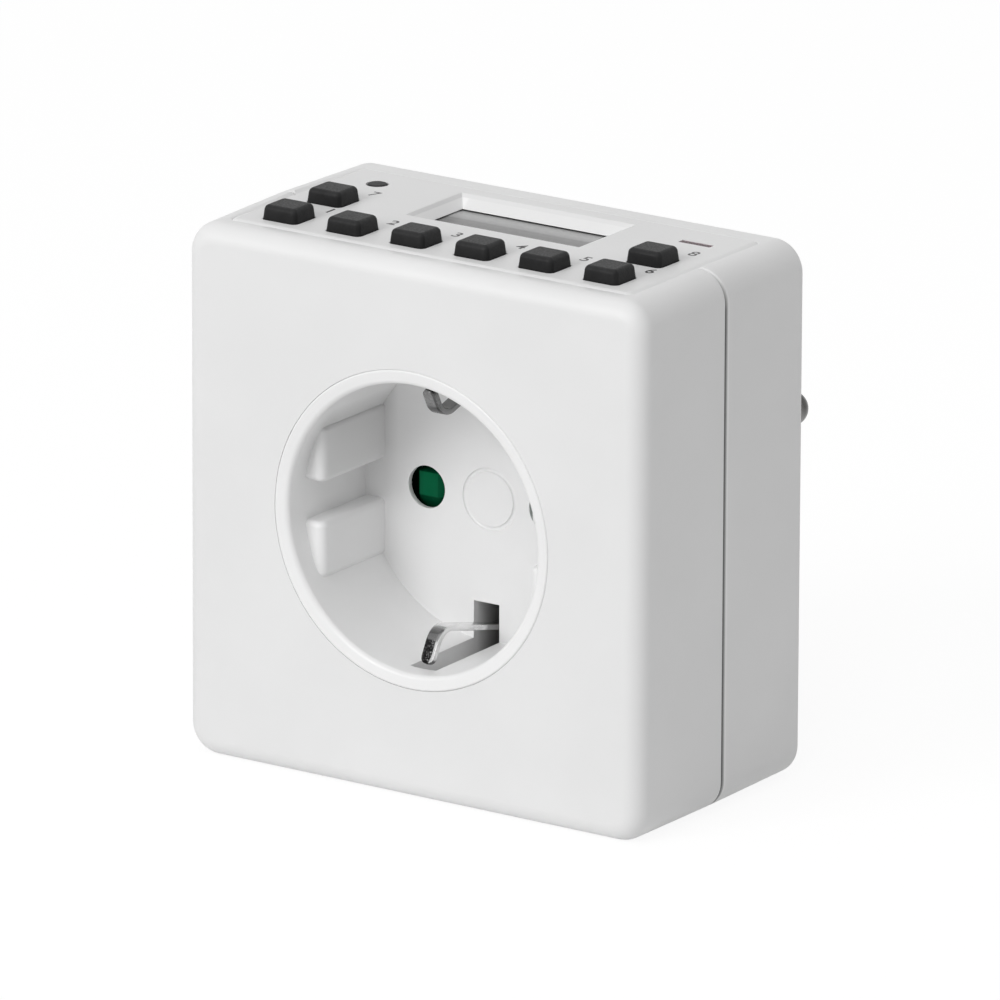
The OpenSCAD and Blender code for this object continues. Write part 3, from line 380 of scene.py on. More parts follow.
def grainOn(tree, scale, detail=3.0, stretch=(1, 1, 1)):
    where = tree.nodes.new("ShaderNodeTexCoord")
    frameOf = tree.nodes.new("ShaderNodeMapping")
    frameOf.inputs["Scale"].default_value = stretch
    grain = tree.nodes.new("ShaderNodeTexNoise")
    grain.inputs["Scale"].default_value = scale
    grain.inputs["Detail"].default_value = detail
    tree.links.new(where.outputs["Object"], frameOf.inputs["Vector"])
    tree.links.new(frameOf.outputs["Vector"], grain.inputs["Vector"])
    return grain.outputs["Fac"]


def twoTone(tree, shader, factor, dark, light, low=0.35, high=0.65):
    ramp = tree.nodes.new("ShaderNodeValToRGB")
    ramp.color_ramp.elements[0].position = low
    ramp.color_ramp.elements[0].color = (*dark, 1)
    ramp.color_ramp.elements[1].position = high
    ramp.color_ramp.elements[1].color = (*light, 1)
    tree.links.new(factor, ramp.inputs["Fac"])
    tree.links.new(ramp.outputs["Color"], shader.inputs["Base Color"])
    return ramp


def roughenBy(tree, shader, factor, low, high):
    # noise mostly lies between these two values
    least, most = 0.3, 0.7
    tree.links.new(fitted(tree, factor, least, most, low, high), shader.inputs["Roughness"])


def bumpBy(tree, shader, factor, depth, strength=1.0):
    bump = tree.nodes.new("ShaderNodeBump")
    bump.inputs["Distance"].default_value = depth * mm
    bump.inputs["Strength"].default_value = strength
    tree.links.new(factor, bump.inputs["Height"])
    tree.links.new(bump.outputs["Normal"], shader.inputs["Normal"])


def mouldedPlastic(name, colour, rough=(0.38, 0.5), grain=2600, spread=0.01):
    paint, tree, shader = newFinish(name)
    clouds = grainOn(tree, 60, 2)
    fine = grainOn(tree, grain, 2)
    dark = tuple(max(c - spread, 0) for c in colour)
    light = tuple(min(c + spread, 1) for c in colour)
    twoTone(tree, shader, clouds, dark, light)
    roughenBy(tree, shader, fine, *rough)
    bumpBy(tree, shader, fine, 0.004)
    return paint


def metalSkin(name, colour, rough, stretch=(1, 1, 1)):
    paint, tree, shader = newFinish(name, metal=1.0)
    lines = grainOn(tree, 900, 4, stretch)
    clouds = grainOn(tree, 160, 3)
    dark = tuple(c * 0.9 for c in colour)
    twoTone(tree, shader, clouds, dark, colour)
    roughenBy(tree, shader, lines, *rough)
    bumpBy(tree, shader, lines, 0.003, 0.5)
    return paint


def matteRubber(name, colour):
    paint, tree, shader = newFinish(name)
    fine = grainOn(tree, 3800, 3)
    clouds = grainOn(tree, 500, 3)
    twoTone(tree, shader, clouds, tuple(c * 0.7 for c in colour), tuple(c * 1.4 for c in colour))
    roughenBy(tree, shader, fine, 0.4, 0.6)
    bumpBy(tree, shader, fine, 0.014, 0.9)
    shader.inputs["Specular IOR Level"].default_value = 0.2
    return paint


def shadedBy(paint, axis, stops, origin=0.0, within=()):
    # the colour times greys along one axis, where wanted only within stretches of other axes
    tree = paint.node_tree
    tint = tree.nodes["Principled BSDF"].inputs["Base Color"]
    plain = tint.links[0].from_socket
    shaded = times(tree, plain, greys(tree, alongAxis(tree, axis), stops, origin))
    for other, low, high in within:
        share = fitted(tree, alongAxis(tree, other), low * mm, high * mm)
        shaded = mixed(tree, share, plain, shaded)
    tree.links.new(shaded, tint)
    return paint


def stripFinish(name, c, q):
    # bright nickel with a painted dark reflection on the outer face of each contact end, speckled there;
    # painted shade darkens the upper strip and the edges near the ends
    paint, tree, shader = newFinish(name, metal=1.0)
    front = c["front"]
    depth = alongAxis(tree, "Y")
    height = alongAxis(tree, "Z")
    brushed = grainOn(tree, 700, 4, (1, 0.15, 1))
    clean = times(tree, greys(tree, brushed, q["clean"], 0, 1), greys(tree, height, q["shadeByHeight"]))
    speckle = greys(tree, grainOn(tree, q["grain"], 2), q["speckle"], 0, 1)
    upper = fitted(tree, height, -mm, mm)
    darkFaceTones = mixed(tree, upper, greys(tree, depth, q["along"], front),
                   greys(tree, depth, q["alongUpper"], front))
    patch = fitted(tree, depth, (front + q["speckled"]) * mm, (front + q["speckled"] - 0.1) * mm)
    patch = worked(tree, "MULTIPLY", patch, worked(tree, "LESS_THAN", upper, 0.5))
    darkenedFace = mixed(tree, patch, darkFaceTones, times(tree, darkFaceTones, speckle))
    away = worked(tree, "ABSOLUTE", worked(tree, "ADD", alongAxis(tree, "X"), q["shift"] * mm))
    reach = worked(tree, "MULTIPLY", greys(tree, depth, q["half"], front), mm)
    inside = fitted(tree, worked(tree, "SUBTRACT", away, reach), 0.04 * mm, -0.04 * mm)
    ahead = fitted(tree, depth, (front + q["bright"]) * mm, (front + q["bright"] - 0.4) * mm)
    edged = times(tree, clean, greys(tree, alongAxis(tree, "X"), q["edge"]))
    metal = mixed(tree, ahead, clean, edged)
    metal = mixed(tree, worked(tree, "MULTIPLY", inside, ahead), metal, darkenedFace)
    tree.links.new(metal, shader.inputs["Base Color"])
    fine = grainOn(tree, 900, 4, (1, 0.15, 1))
    roughenBy(tree, shader, fine, 0.16, 0.3)
    bumpBy(tree, shader, fine, 0.003, 0.5)
    return paint


# each pair is a place in mm and the tone there
# painted shade in the parting groove, with a painted highlight on the rear half's rounded edge
seamShadeAndHighlight = [(-0.5, 1.0), (-0.38, 0.95), (-0.31, 0.2), (0.1, 0.2), (0.26, 0.6), (0.4, 1.08), (0.62, 1.13),
             (0.7, 1.0)]
# painted shade deep in the clip sleeves behind the socket floor
sleeveShadeTones = [(18.3, 1.0), (20.0, 0.7), (23.0, 0.3)]
# painted shade on the upper ribs and walls at the sides of the socket
upperRibShadeTones = [(-3.0, 1.0), (2.0, 0.93), (5.0, 0.85), (10.0, 0.78), (18.0, 0.8)]
# painted shadow on the shutter around its pad, where the pin hole's walls shade it
padShadeTones = {"across": [(8.0, 0.8), (8.8, 0.95), (10.6, 1.0), (11.3, 0.75), (12.0, 0.3), (13.0, 0.08)],
            "upward": [(-2.2, 0.55), (-1.6, 0.5), (-1.4, 1.0), (1.5, 1.0), (2.2, 0.2)]}
# painted shade on the keys, darker towards their foot
keyShadeTones = [(36.0, 0.4), (37.0, 0.6), (37.6, 0.95)]
# painted dark reflection on the upper half of each pin's tip
pinTipReflectionTones = [(-2.4, 0.42), (-0.6, 0.4), (0.6, 0.2), (2.4, 0.18)]
# painted light on the sloping walls of the display window
windowSlopeLight = {"z": (35.6, 35.5), "across": [(-12.3, 1.15), (-11.9, 1.05), (14.2, 1.05)]}
# contact strip tones: painted dark reflection along the contact ends, painted shade on the upper strip and
# along the edges, and speckles
contactZones = {
    "clean": [(0.3, 0.66), (0.7, 0.9)], "shadeByHeight": [(-5, 1.0), (5, 0.36)],
    "grain": 5200, "speckle": [(0.38, 0.1), (0.56, 0.5), (0.63, 2.5), (0.68, 5.0)], "speckled": 5.1,
    "along": [(3.0, 0.035), (5.0, 0.035), (5.12, 0.15), (5.7, 0.17), (6.1, 0.35), (6.6, 0.7)],
    "alongUpper": [(3.0, 0.16), (4.6, 0.24), (5.6, 0.15), (6.6, 0.22)],
    "shift": 0.2, "half": [(3.3, 0.45), (4.2, 0.75), (9, 0.75)], "bright": 6.7,
    "edge": [(0.5, 0.3), (0.9, 0.35), (0.99, 1.0)],
}
# casing: painted shade and highlight at the parting groove, faded out towards the top, where the groove faces
# the light
casingPlastic = shadedBy(mouldedPlastic("casingPlastic", (0.80, 0.80, 0.80)), "Y", seamShadeAndHighlight, casing["seam"],
                         within=[("Z", 35.4, 31.0)])
panelPlastic = mouldedPlastic("panelPlastic", (0.79, 0.79, 0.79), rough=(0.42, 0.55), grain=3200)
# panel: painted light on the window's sloping walls, below the panel's top
shadedBy(panelPlastic, "X", windowSlopeLight["across"], within=[("Z", *windowSlopeLight["z"])])
socketPlastic = mouldedPlastic("socketPlastic", (0.86, 0.86, 0.86), rough=(0.28, 0.4))
# socket: painted shade, darker the deeper into the sleeves
shadedBy(socketPlastic, "Y", sleeveShadeTones, casing["front"])
# socket: painted shade, darker higher up on the ribs and side walls
shadedBy(socketPlastic, "Z", upperRibShadeTones,
         within=[("|X|", 14.0, 16.0), ("Y", casing["front"] + 1.2, casing["front"] + 4.0)])
shutterPlastic = mouldedPlastic("shutterPlastic", (0.0, 0.128, 0.056), rough=(0.35, 0.5), spread=0.008)
shutterPlastic.node_tree.nodes["Principled BSDF"].inputs["Specular IOR Level"].default_value = 0.07
# shutter: painted shadow, dark beyond the pad to the sides, above and below
shadedBy(shutterPlastic, "|X|", padShadeTones["across"])
shadedBy(shutterPlastic, "Z", padShadeTones["upward"])
# keys: painted shade, darker down their sides
keyRubber = shadedBy(matteRubber("keyRubber", (0.0125, 0.0125, 0.013)), "Z", keyShadeTones)
resetPlastic = mouldedPlastic("resetPlastic", (0.004, 0.004, 0.0045), rough=(0.6, 0.75), spread=0.001)
nickelStrip = stripFinish("nickelStrip", casing, contactZones)
plugStripNickel = metalSkin("plugStripNickel", (0.6, 0.6, 0.59), rough=(0.16, 0.28), stretch=(1, 0.15, 1))
nickelPin = metalSkin("nickelPin", (0.42, 0.417, 0.41), rough=(0.2, 0.34), stretch=(1, 6, 1))
# pins: painted dark reflection over the upper half of the tips
shadedBy(nickelPin, "Z", pinTipReflectionTones, within=[("Y", 11.5, 16.5)])
springWire = metalSkin("springWire", (0.6, 0.6, 0.62), rough=(0.2, 0.3))
print("finishes ready")


# casing halves
def roundedBlock(name, start, end, inset, corner, edge, c, draft=0.0, seamEdge=0.0):
    # solid block from start to its outer face at end, drafted, with rounded corners
    width = c["halfWidth"] - inset
    low, high = c["low"] + inset, c["high"] - inset
    block = addBlock(name, (-width, min(start, end), low), (width, max(start, end), high))
    edit(block)
    choose("FACE", liesAt(1, end))
    bpy.ops.transform.resize(value=(1 - draft / width, 1, 1 - draft / (high - low)),
                             center_override=point(0, end, low))
    roundEdges(lambda e: abs(e.verts[0].co.y - e.verts[1].co.y) > 5 * mm, corner, 12)
    roundEdges(liesAt(1, end), edge, 8)
    if seamEdge:
        roundEdges(liesAt(1, start), seamEdge, 5)
    leaveEdit()
    return block


def casingHalf(name, outer, edge, c, seamEdge=0.0):
    inward = 1 if outer < c["seam"] else -1
    wall = c["wall"]
    half = roundedBlock(name, c["seam"], outer, 0, c["corner"], edge, c, c["draft"], seamEdge)
    room = roundedBlock("room", c["seam"] + inward, outer + inward * wall, wall, c["corner"] - wall,
                        max(edge - wall, 0.4), c, c["draft"])
    combine(half, room, "DIFFERENCE")
    return half


def seamRing(c):
    # band cut from the front half's edge, which leaves the dark line of the parting
    ring = addBlock("seamRing", (-c["halfWidth"] - 1, c["seam"] - c["gap"], c["low"] - 1),
                    (c["halfWidth"] + 1, c["seam"] + 0.1, c["high"] + 1))
    edit(ring)
    roundEdges(runsAlong(1, 0.1), c["corner"] + 1, 10)
    choose("FACE", lambda f: abs(f.normal.y) > 0.9)
    bpy.ops.mesh.delete(type="FACE")
    leaveEdit()
    useModifier(ring, "SOLIDIFY", thickness=1.9 * mm, offset=-1, use_even_offset=True)
    return ring


panel = {"halfWidth": 31.25, "halfDepth": 15.25, "top": 36.0, "thick": 1.6, "corner": 1.2,
         "lip": 0.55, "lipDrop": 0.25, "crest": 0.25, "foot": 0.08, "flare": 0.7, "flareRise": 0.45,
         "window": (13.6, -0.65, 12.45), "sideLean": 1.5, "endLean": 2.0,
         "rimWide": (32.25, 16.25), "rimHole": (30, 14), "rimRise": (32.635, 33.835)}


def panelOpening(c, p):
    w, d, foot = p["halfWidth"], p["halfDepth"], p["top"] - p["lipDrop"]
    opening = addBlock("panelOpening", (-w, c["seam"] - d, c["high"] - 4), (w, c["seam"] + d, foot))
    edit(opening)
    roundEdges(runsAlong(2), p["corner"], 8)
    choose("FACE", liesAt(2, foot))
    for rise, grow in ((p["flareRise"], p["flare"]), (2, 0)):
        bpy.ops.mesh.extrude_region_move(TRANSFORM_OT_translate={"value": (0, 0, rise * mm)})
        bpy.ops.transform.resize(value=(1 + grow / w, 1 + grow / d, 1),
                                 center_override=point(0, c["seam"], foot + rise))
    leaveEdit()
    return opening


screws = {"post": 3.1, "pilot": 1.5, "pilotDepth": 11, "tube": 4.2, "tubeDepth": 12, "way": 1.7, "well": 3.1,
          "wellDepth": 11}
socketSeat = {"collar": 23.9, "collarHole": 22.75, "collarDepth": 5, "opening": 21.415}


def makeFrontShell(c, w, t):
    shell = casingHalf("frontShell", c["front"], c["frontEdge"], c)
    root = c["front"] + c["wall"] - 0.1
    for x, z in postPlaces:
        joinOn(shell, addRound("post", w["post"], root, c["seam"], x, z, 40))
    joinOn(shell, addRound("collar", t["collar"], root, c["front"] + t["collarDepth"], sides=96))
    cutAway(shell, addRound("collarHole", t["collarHole"], c["front"] + c["wall"],
                            c["front"] + t["collarDepth"] + 1, sides=96),
            addRound("socketHole", t["opening"], c["front"] - 2, c["front"] + 3, sides=128),
            panelOpening(c, panel), seamRing(c))
    for x, z in postPlaces:
        cutAway(shell, addRound("pilot", w["pilot"], c["seam"] - w["pilotDepth"], c["seam"] + 1, x, z, 24))
    return tidyUp(shell, edge=0.08)


plugBody = {"radius": 18.9, "ribSpan": 15.7, "keyLow": 2.3, "keyHigh": 10.7, "chamfer": 1.0,
            "seatHalf": 2.3, "seatFloor": 17.5, "seatOut": 21, "seatEnd": 1.2, "slotIn": 14.8,
            "slotDepth": 5.5, "hollow": 16.6, "hollowHalf": 14.2, "endWall": 3.0, "pinSpread": 9.5,
            "shoulder": 2.75}


def makeRearShell(c, w, b):
    shell = casingHalf("rearShell", c["rear"], c["rearEdge"], c, c["seamEdge"])
    body = addRound("plugBody", b["radius"], c["rear"] - 1.9, 0, sides=128)
    edit(body)
    roundEdges(liesAt(1, 0), b["chamfer"], 3)
    leaveEdit()
    for side in (-1, 1):
        for up in (-1, 1):
            x0, x1 = sorted((side * b["ribSpan"], side * (b["radius"] + 2)))
            z0, z1 = sorted((up * b["keyLow"], up * b["keyHigh"]))
            cutAway(body, addBlock("keyway", (x0, c["rear"] + 2, z0), (x1, 2, z1)))
    joinOn(shell, body)
    for x, z in postPlaces:
        joinOn(shell, addRound("tube", w["tube"], c["rear"] - w["tubeDepth"], c["rear"] - 0.5, x, z, 48))
    hollow = addRound("hollow", b["hollow"], c["rear"] - 3, -b["endWall"], sides=96)
    sides = addBlock("sides", (-b["hollowHalf"], c["rear"] - 4, -20), (b["hollowHalf"], 0, 20))
    combine(hollow, sides, "INTERSECT")
    cutAway(shell, hollow)
    for up in (-1, 1):
        for name, inner, end in (("clipSeat", b["seatFloor"], -b["seatEnd"]),
                                 ("clipSlot", b["slotIn"], c["rear"] + b["slotDepth"])):
            z0, z1 = sorted((up * inner, up * b["seatOut"]))
            cutAway(shell, addBlock(name, (-b["seatHalf"], c["rear"] + 2, z0), (b["seatHalf"], end, z1)))
    for side in (-1, 1):
        cutAway(shell, addRound("pinHole", b["shoulder"], -b["endWall"] - 1, 1, side * b["pinSpread"], 0, 48))
    for x, z in postPlaces:
        cutAway(shell, addRound("screwWay", w["way"], c["seam"], c["rear"], x, z, 24),
                addRound("headWell", w["well"], c["rear"] - w["wellDepth"], c["rear"] + 1, x, z, 48))
    cutAway(shell, panelOpening(c, panel))
    return tidyUp(shell, edge=0.12)


frontShell = makeFrontShell(casing, screws, socketSeat)
place(frontShell, "casing", "casing_white", casingPlastic, "front_shell")
rearShell = makeRearShell(casing, screws, plugBody)
place(rearShell, "casing", "casing_white", casingPlastic, "rear_shell")
print("casing halves made")


# control panel
keys = {"width": 5.4, "depth": 5.0, "rise": 1.92, "fit": 0.08, "corner": 0.7, "shoulder": 0.6, "draft": 0.2,
        "flange": 33.0, "flangeOut": 0.85, "flangeThick": 1.2, "flangeCorner": 1.0, "pill": 1.9,
        "pillLow": 31.1, "places": [
            ("clock_key", -25, -10.6), ("timer_key", -15, -10.6), ("mode_key", -5, -10.6),
            ("week_key", 5, -10.6), ("hour_key", 15, -10.6), ("minute_key", 25, -10.6),
            ("random_key", -25, -0.6), ("recall_key", 25, -0.6)]}
resetHole = {"x": -25, "y": 9.5, "radius": 1.5}
# dark is the lamp window's plum; rim is the painted highlight along its rear rim and ends
lampSlit = {"x": 25, "y": 9.5, "halfWidth": 2.4, "halfDepth": 0.6, "dark": (0.035, 0.001, 0.01),
            "rim": (0.24, 0.07, 0.11)}


def makePanel(c, p):
    seam, top, low = c["seam"], p["top"], p["top"] - p["thick"]
    rimZ = top - p["lipDrop"]
    plate = addBlock("controlPanel", (-p["halfWidth"], seam - p["halfDepth"], low),
                     (p["halfWidth"], seam + p["halfDepth"], rimZ))
    edit(plate)
    roundEdges(runsAlong(2), p["corner"], 8)
    # sloping lip all round, then softened at its foot and its crest
    choose("FACE", liesAt(2, rimZ))
    bpy.ops.mesh.inset(thickness=p["lip"] * mm)
    bpy.ops.transform.translate(value=(0, 0, p["lipDrop"] * mm))
    roundEdges(liesAt(2, top), p["crest"], 3)
    roundEdges(liesAt(2, rimZ), p["foot"], 2)
    leaveEdit()
    halfW, y0, y1 = p["window"]
    # sloping window: the cutter's lower face is drawn in, its upper face let out above the plate
    past = 0.2
    well = addBlock("windowWell", (-halfW, seam + y0, low - past), (halfW, seam + y1, top + past))
    edit(well)
    wide, deep = halfW, (y1 - y0) / 2
    for level, way in ((low - past, -1 - past / p["thick"]), (top + past, past / p["thick"])):
        choose("FACE", liesAt(2, level))
        bpy.ops.transform.resize(value=(1 + way * p["sideLean"] / wide, 1 + way * p["endLean"] / deep, 1),
                                 center_override=point(0, seam + (y0 + y1) / 2, level))
    leaveEdit()
    cutAway(plate, well)
    for _, x, y in keys["places"]:
        w, d = keys["width"] / 2 + keys["fit"], keys["depth"] / 2 + keys["fit"]
        hole = addBlock("keyHole", (x - w, seam + y - d, low - 1), (x + w, seam + y + d, top + 1))
        edit(hole)
        roundEdges(runsAlong(2), keys["corner"] + 0.1, 5)
        bpy.ops.object.mode_set(mode="OBJECT")
        cutAway(plate, hole)
    r = resetHole
    cutAway(plate, addRound("resetHole", r["radius"], low - 1, top + 1, r["x"], seam + r["y"], 48, axis="Z"))
    q = lampSlit
    cutAway(plate, addBlock("lampSlit", (q["x"] - q["halfWidth"], seam + q["y"] - q["halfDepth"], low - 1),
                            (q["x"] + q["halfWidth"], seam + q["y"] + q["halfDepth"], top + 1)))
    # frame under the casing's edge
    (w, d), (z0, z1) = p["rimWide"], p["rimRise"]
    rim = addBlock("panelRim", (-w, seam - d, z0), (w, seam + d, z1))
    w, d = p["rimHole"]
    cutAway(rim, addBlock("rimHole", (-w, seam - d, 32), (w, seam + d, 35)))
    joinOn(plate, rim)
    return tidyUp(plate, edge=0.09)


controlPanel = makePanel(casing, panel)
place(controlPanel, "casing", "panel_white", panelPlastic, "control_panel")
print("control panel made")


# keys
def makeKey(k):
    # modelled once round its own middle, then copied to each place
    w, d, draft = k["width"] / 2, k["depth"] / 2, k["draft"]
    top = panel["top"] + k["rise"]
    cap = addBlock("keyCap", (-w, -d, k["flange"]), (w, d, top))
    edit(cap)
    chooseAll()
    bpy.ops.mesh.bisect(plane_co=point(0, 0, panel["top"]), plane_no=(0, 0, 1))
    choose("FACE", liesAt(2, top))
    bpy.ops.transform.resize(value=(1 - draft / w, 1 - draft / d, 1), center_override=point(0, 0, top))
    roundEdges(lambda e: abs(e.verts[0].co.z - e.verts[1].co.z) > 0.5 * mm, k["corner"], 5)
    roundEdges(liesAt(2, top), k["shoulder"], 6)
    leaveEdit()
    w, d = w + k["flangeOut"], d + k["flangeOut"]
    foot = addBlock("keyFoot", (-w, -d, k["flange"]), (w, d, k["flange"] + k["flangeThick"]))
    edit(foot)
    roundEdges(runsAlong(2), k["flangeCorner"], 4)
    leaveEdit()
    joinOn(cap, foot, addRound("pill", k["pill"], k["pillLow"], k["flange"] + 0.1, sides=40, axis="Z"))
    return tidyUp(cap, smooth=50)


pattern = makeKey(keys)
for node, x, y in keys["places"]:
    key = copyOf(pattern, node.replace("_k", "K"), (x, casing["seam"] + y, 0))
    place(key, node, "key_rubber", keyRubber, node)
bpy.data.objects.remove(pattern, do_unlink=True)
print("keys made")


# socket insert
cup = {"rim": 21.4, "rise": 0.1, "lean": 10, "mouth": 19.4, "mouthEdge": 0.8, "rimEdge": 0.3,
       "floor": 19.3, "depth": 17.5, "floorThick": 1.5, "outer": 21.1, "flange": 22.6,
       "flangeStart": 2, "flangeEnd": 3.3, "ribOut": 20.3, "ribTrim": 20.1, "ribHalfSpan": 16.1,
       "ribLow": 2.7, "ribHigh": 10.3, "ribBack": 3.3, "ribLean": 8, "ribEdge": 0.8, "ribNose": 1.4,
       "slotHalf": 2.0, "slotIn": 14.1, "slotOut": 21.7, "sleeve": 5.5, "sleeveWall": 0.7,
       "sleeveTop": 15.7, "holeRadius": 2.88, "holeSpread": 9.5, "disc": (0.4, 3.95), "discGroove": 0.3,
       "pocket": (14.4, 18.25, -4.5, 11.2)}


def arcPoints(cy, cz, r, a0, a1, steps):
    return [(cy + r * math.cos(math.radians(a0 + (a1 - a0) * i / steps)),
             cz + r * math.sin(math.radians(a0 + (a1 - a0) * i / steps))) for i in range(steps + 1)]


def makeRib(k, c):
    # right upper rib; its front end leans back to the wall
    front = c["front"] + k["ribBack"]
    back = c["front"] + k["depth"] + 0.4
    inner, outer = k["ribHalfSpan"], k["ribOut"]
    rib = addBlock("rib", (inner, front, k["ribLow"]), (outer, back, k["ribHigh"]))
    edit(rib)
    choose("EDGE", lambda e: liesAt(1, front)(e) and liesAt(0, outer)(e))
    bpy.ops.transform.translate(value=(0, (outer - inner) * math.tan(math.radians(k["ribLean"])) * mm, 0))
    roundEdges(lambda e: liesAt(1, front)(e) and liesAt(0, inner)(e), k["ribNose"], 8)
    roundEdges(lambda e: abs(e.verts[0].co.z - e.verts[1].co.z) < 0.1 * mm
               and not liesAt(0, outer)(e) and not liesAt(1, back)(e), k["ribEdge"], 6)
    leaveEdit()
    trim = addRound("trim", k["ribTrim"], c["front"], back + 1, sides=160)
    combine(rib, trim, "INTERSECT")
    return rib


def clipWay(k, c, up):
    # channel in the wall and slot through the floor; housing outside the wall and behind the floor
    f, floorY, back = c["front"], c["front"] + k["depth"], c["front"] + k["depth"] + k["floorThick"]
    half, wall = k["slotHalf"], k["sleeveWall"]

    def upright(name, grow, y0, y1, z0, z1):
        z0, z1 = sorted((up * z0, up * z1))
        return addBlock(name, (-half - grow, y0, z0), (half + grow, y1, z1))

    inner = k["sleeveTop"] if up > 0 else k["slotIn"] - wall
    housing = [upright("trough", wall, f + k["flangeEnd"] - 0.1, back, k["mouth"] + 0.4, k["slotOut"] + wall),
               upright("sleeve", wall, back - 0.1, back + k["sleeve"], inner, k["slotOut"] + wall)]
    cutters = [upright("channel", 0, f + 3, back + k["sleeve"] + 1, k["mouth"] - 2, k["slotOut"]),
               upright("slot", 0, floorY - 1, back + k["sleeve"] + 1, k["slotIn"], k["mouth"] - 1.9)]
    return housing, cutters


def makeSocket(k, c):
    front = c["front"]
    floorY = front + k["depth"]
    start, end = k["flangeStart"], k["flangeEnd"]
    body = addRound("socketInsert", k["outer"], front + end, floorY + k["floorThick"], sides=192)
    lean = math.radians(k["lean"])
    width = k["rim"] - k["mouth"]
    mouthEdge, rimEdge = k["mouthEdge"], k["rimEdge"]
    fall = ((width - mouthEdge - rimEdge) * math.sin(lean) + mouthEdge - rimEdge) / math.cos(lean)
    profile = [(k["flange"], end), (k["flange"], start), (k["rim"], start)]
    profile += arcPoints(k["rim"] - rimEdge, rimEdge - k["rise"], rimEdge, 360, 270 - k["lean"], 5)
    profile += arcPoints(k["mouth"] + mouthEdge, fall + rimEdge - k["rise"], mouthEdge,
                         270 - k["lean"], 180, 8)
    profile += [(k["floor"], k["depth"])]
    edit(body)
    choose("FACE", liesAt(1, front + end))
    lastR, lastY = k["outer"], end
    for r, y in profile:
        bpy.ops.mesh.extrude_region_move(TRANSFORM_OT_translate={"value": (0, (y - lastY) * mm, 0)})
        bpy.ops.transform.resize(value=(r / lastR, 1, r / lastR), center_override=point(0, front + y, 0))
        lastR, lastY = r, y
    leaveEdit()
    rib = makeRib(k, c)
    for name, mirrors in (("a", ()), ("b", (0,)), ("c", (2,)), ("d", (0, 2))):
        twin = copyOf(rib, "rib" + name)
        for axis in mirrors:
            old = twin
            twin = copyOf(old, "ribTurned", mirror=axis)
            bpy.data.objects.remove(old, do_unlink=True)
        joinOn(body, twin)
    bpy.data.objects.remove(rib, do_unlink=True)
    for up in (-1, 1):
        housing, cutters = clipWay(k, c, up)
        joinOn(body, *housing)
        cutAway(body, *cutters)
    for side in (-1, 1):
        cutAway(body, addRound("pinHole", k["holeRadius"], floorY - 1, floorY + 3,
                               side * k["holeSpread"], 0, 64))
    setDown()
    discX, discRadius = k["disc"]
    bpy.ops.mesh.primitive_torus_add(location=point(discX, floorY - 0.03, 0), rotation=(math.pi / 2, 0, 0),
                                     major_radius=discRadius * mm, minor_radius=k["discGroove"] * mm,
                                     major_segments=96, minor_segments=16)
    groove = bpy.context.object
    settle()
    # pocket behind the floor in which the shutter slides
    halfWidth, bottom, low, high = k["pocket"]
    pocket = addBlock("shutterPocket", (-halfWidth, front + bottom, low),
                      (halfWidth, floorY + k["floorThick"] + 0.1, high))
    cutAway(body, groove, pocket)
    return tidyUp(body, edge=0.12, smooth=30, merge=0.0005)


socketInsert = makeSocket(cup, casing)
place(socketInsert, "casing", "insert_white", socketPlastic, "socket_insert")
print("socket insert made")


# shutter behind the pin holes
shutter = {"front": 20.2, "back": 20.8, "half": 4.2, "inner": 2.6, "outer": 14.05,
           "pad": (8.4, 11.3, -1.5, 1.7), "slopeIn": 2.0, "slopeOut": 0.7, "padRise": 1.75, "notch": (1.2, 2)}


def makeShutter(q, c):
    # one blade with a raised pad behind its pin hole, mirrored, and the bridge that joins the two
    front, back = c["front"] + q["front"], c["front"] + q["back"]
    x0, x1, z0, z1 = q["pad"]
    blade = addBlock("shutterBlade", (q["inner"], front, -q["half"]), (q["outer"], back, q["half"]))
    edit(blade)
    cuts = [((x, 0, 0), (1, 0, 0)) for x in (x0 - q["slopeIn"], x0, x1, x1 + q["slopeOut"])]
    cuts += [((0, 0, z), (0, 0, 1)) for z in (z0, z1, z1 + q["slopeOut"])]
    for spot, way in cuts:
        chooseAll()
        bpy.ops.mesh.bisect(plane_co=point(*spot), plane_no=way)
    choose("VERT", lambda v: (x0 - 0.01) * mm < v.co.x < (x1 + 0.01) * mm and v.co.y < (front + 0.01) * mm
           and (z0 - 0.01) * mm < v.co.z < (z1 + 0.01) * mm)
    bpy.ops.transform.translate(value=(0, -q["padRise"] * mm, 0))
    leaveEdit()
    twin = copyOf(blade, "shutterTwin", mirror=0)
    bridge = addBlock("shutterBridge", (-q["inner"] - 0.1, front, -q["half"]),
                      (q["inner"] + 0.1, back, q["half"]))
    x, z = q["notch"]
    cutAway(bridge, addBlock("notch", (-x, back - 2, -q["half"] - 1), (x, back + 1, -q["half"] + z)))
    joinOn(blade, twin, bridge)
    return tidyUp(blade, edge=0.06)


shutterPiece = makeShutter(shutter, casing)
shutterPiece.name = "shutterBlades"
place(shutterPiece, "shutter", "shutter_green", shutterPlastic, "shutter")
print("shutter made")


# spring over the shutter
spring = {"wire": 0.45, "width": 3.4, "turns": 5, "low": 4.2, "high": 13.8, "axisY": 21.1, "travel": 6.6}


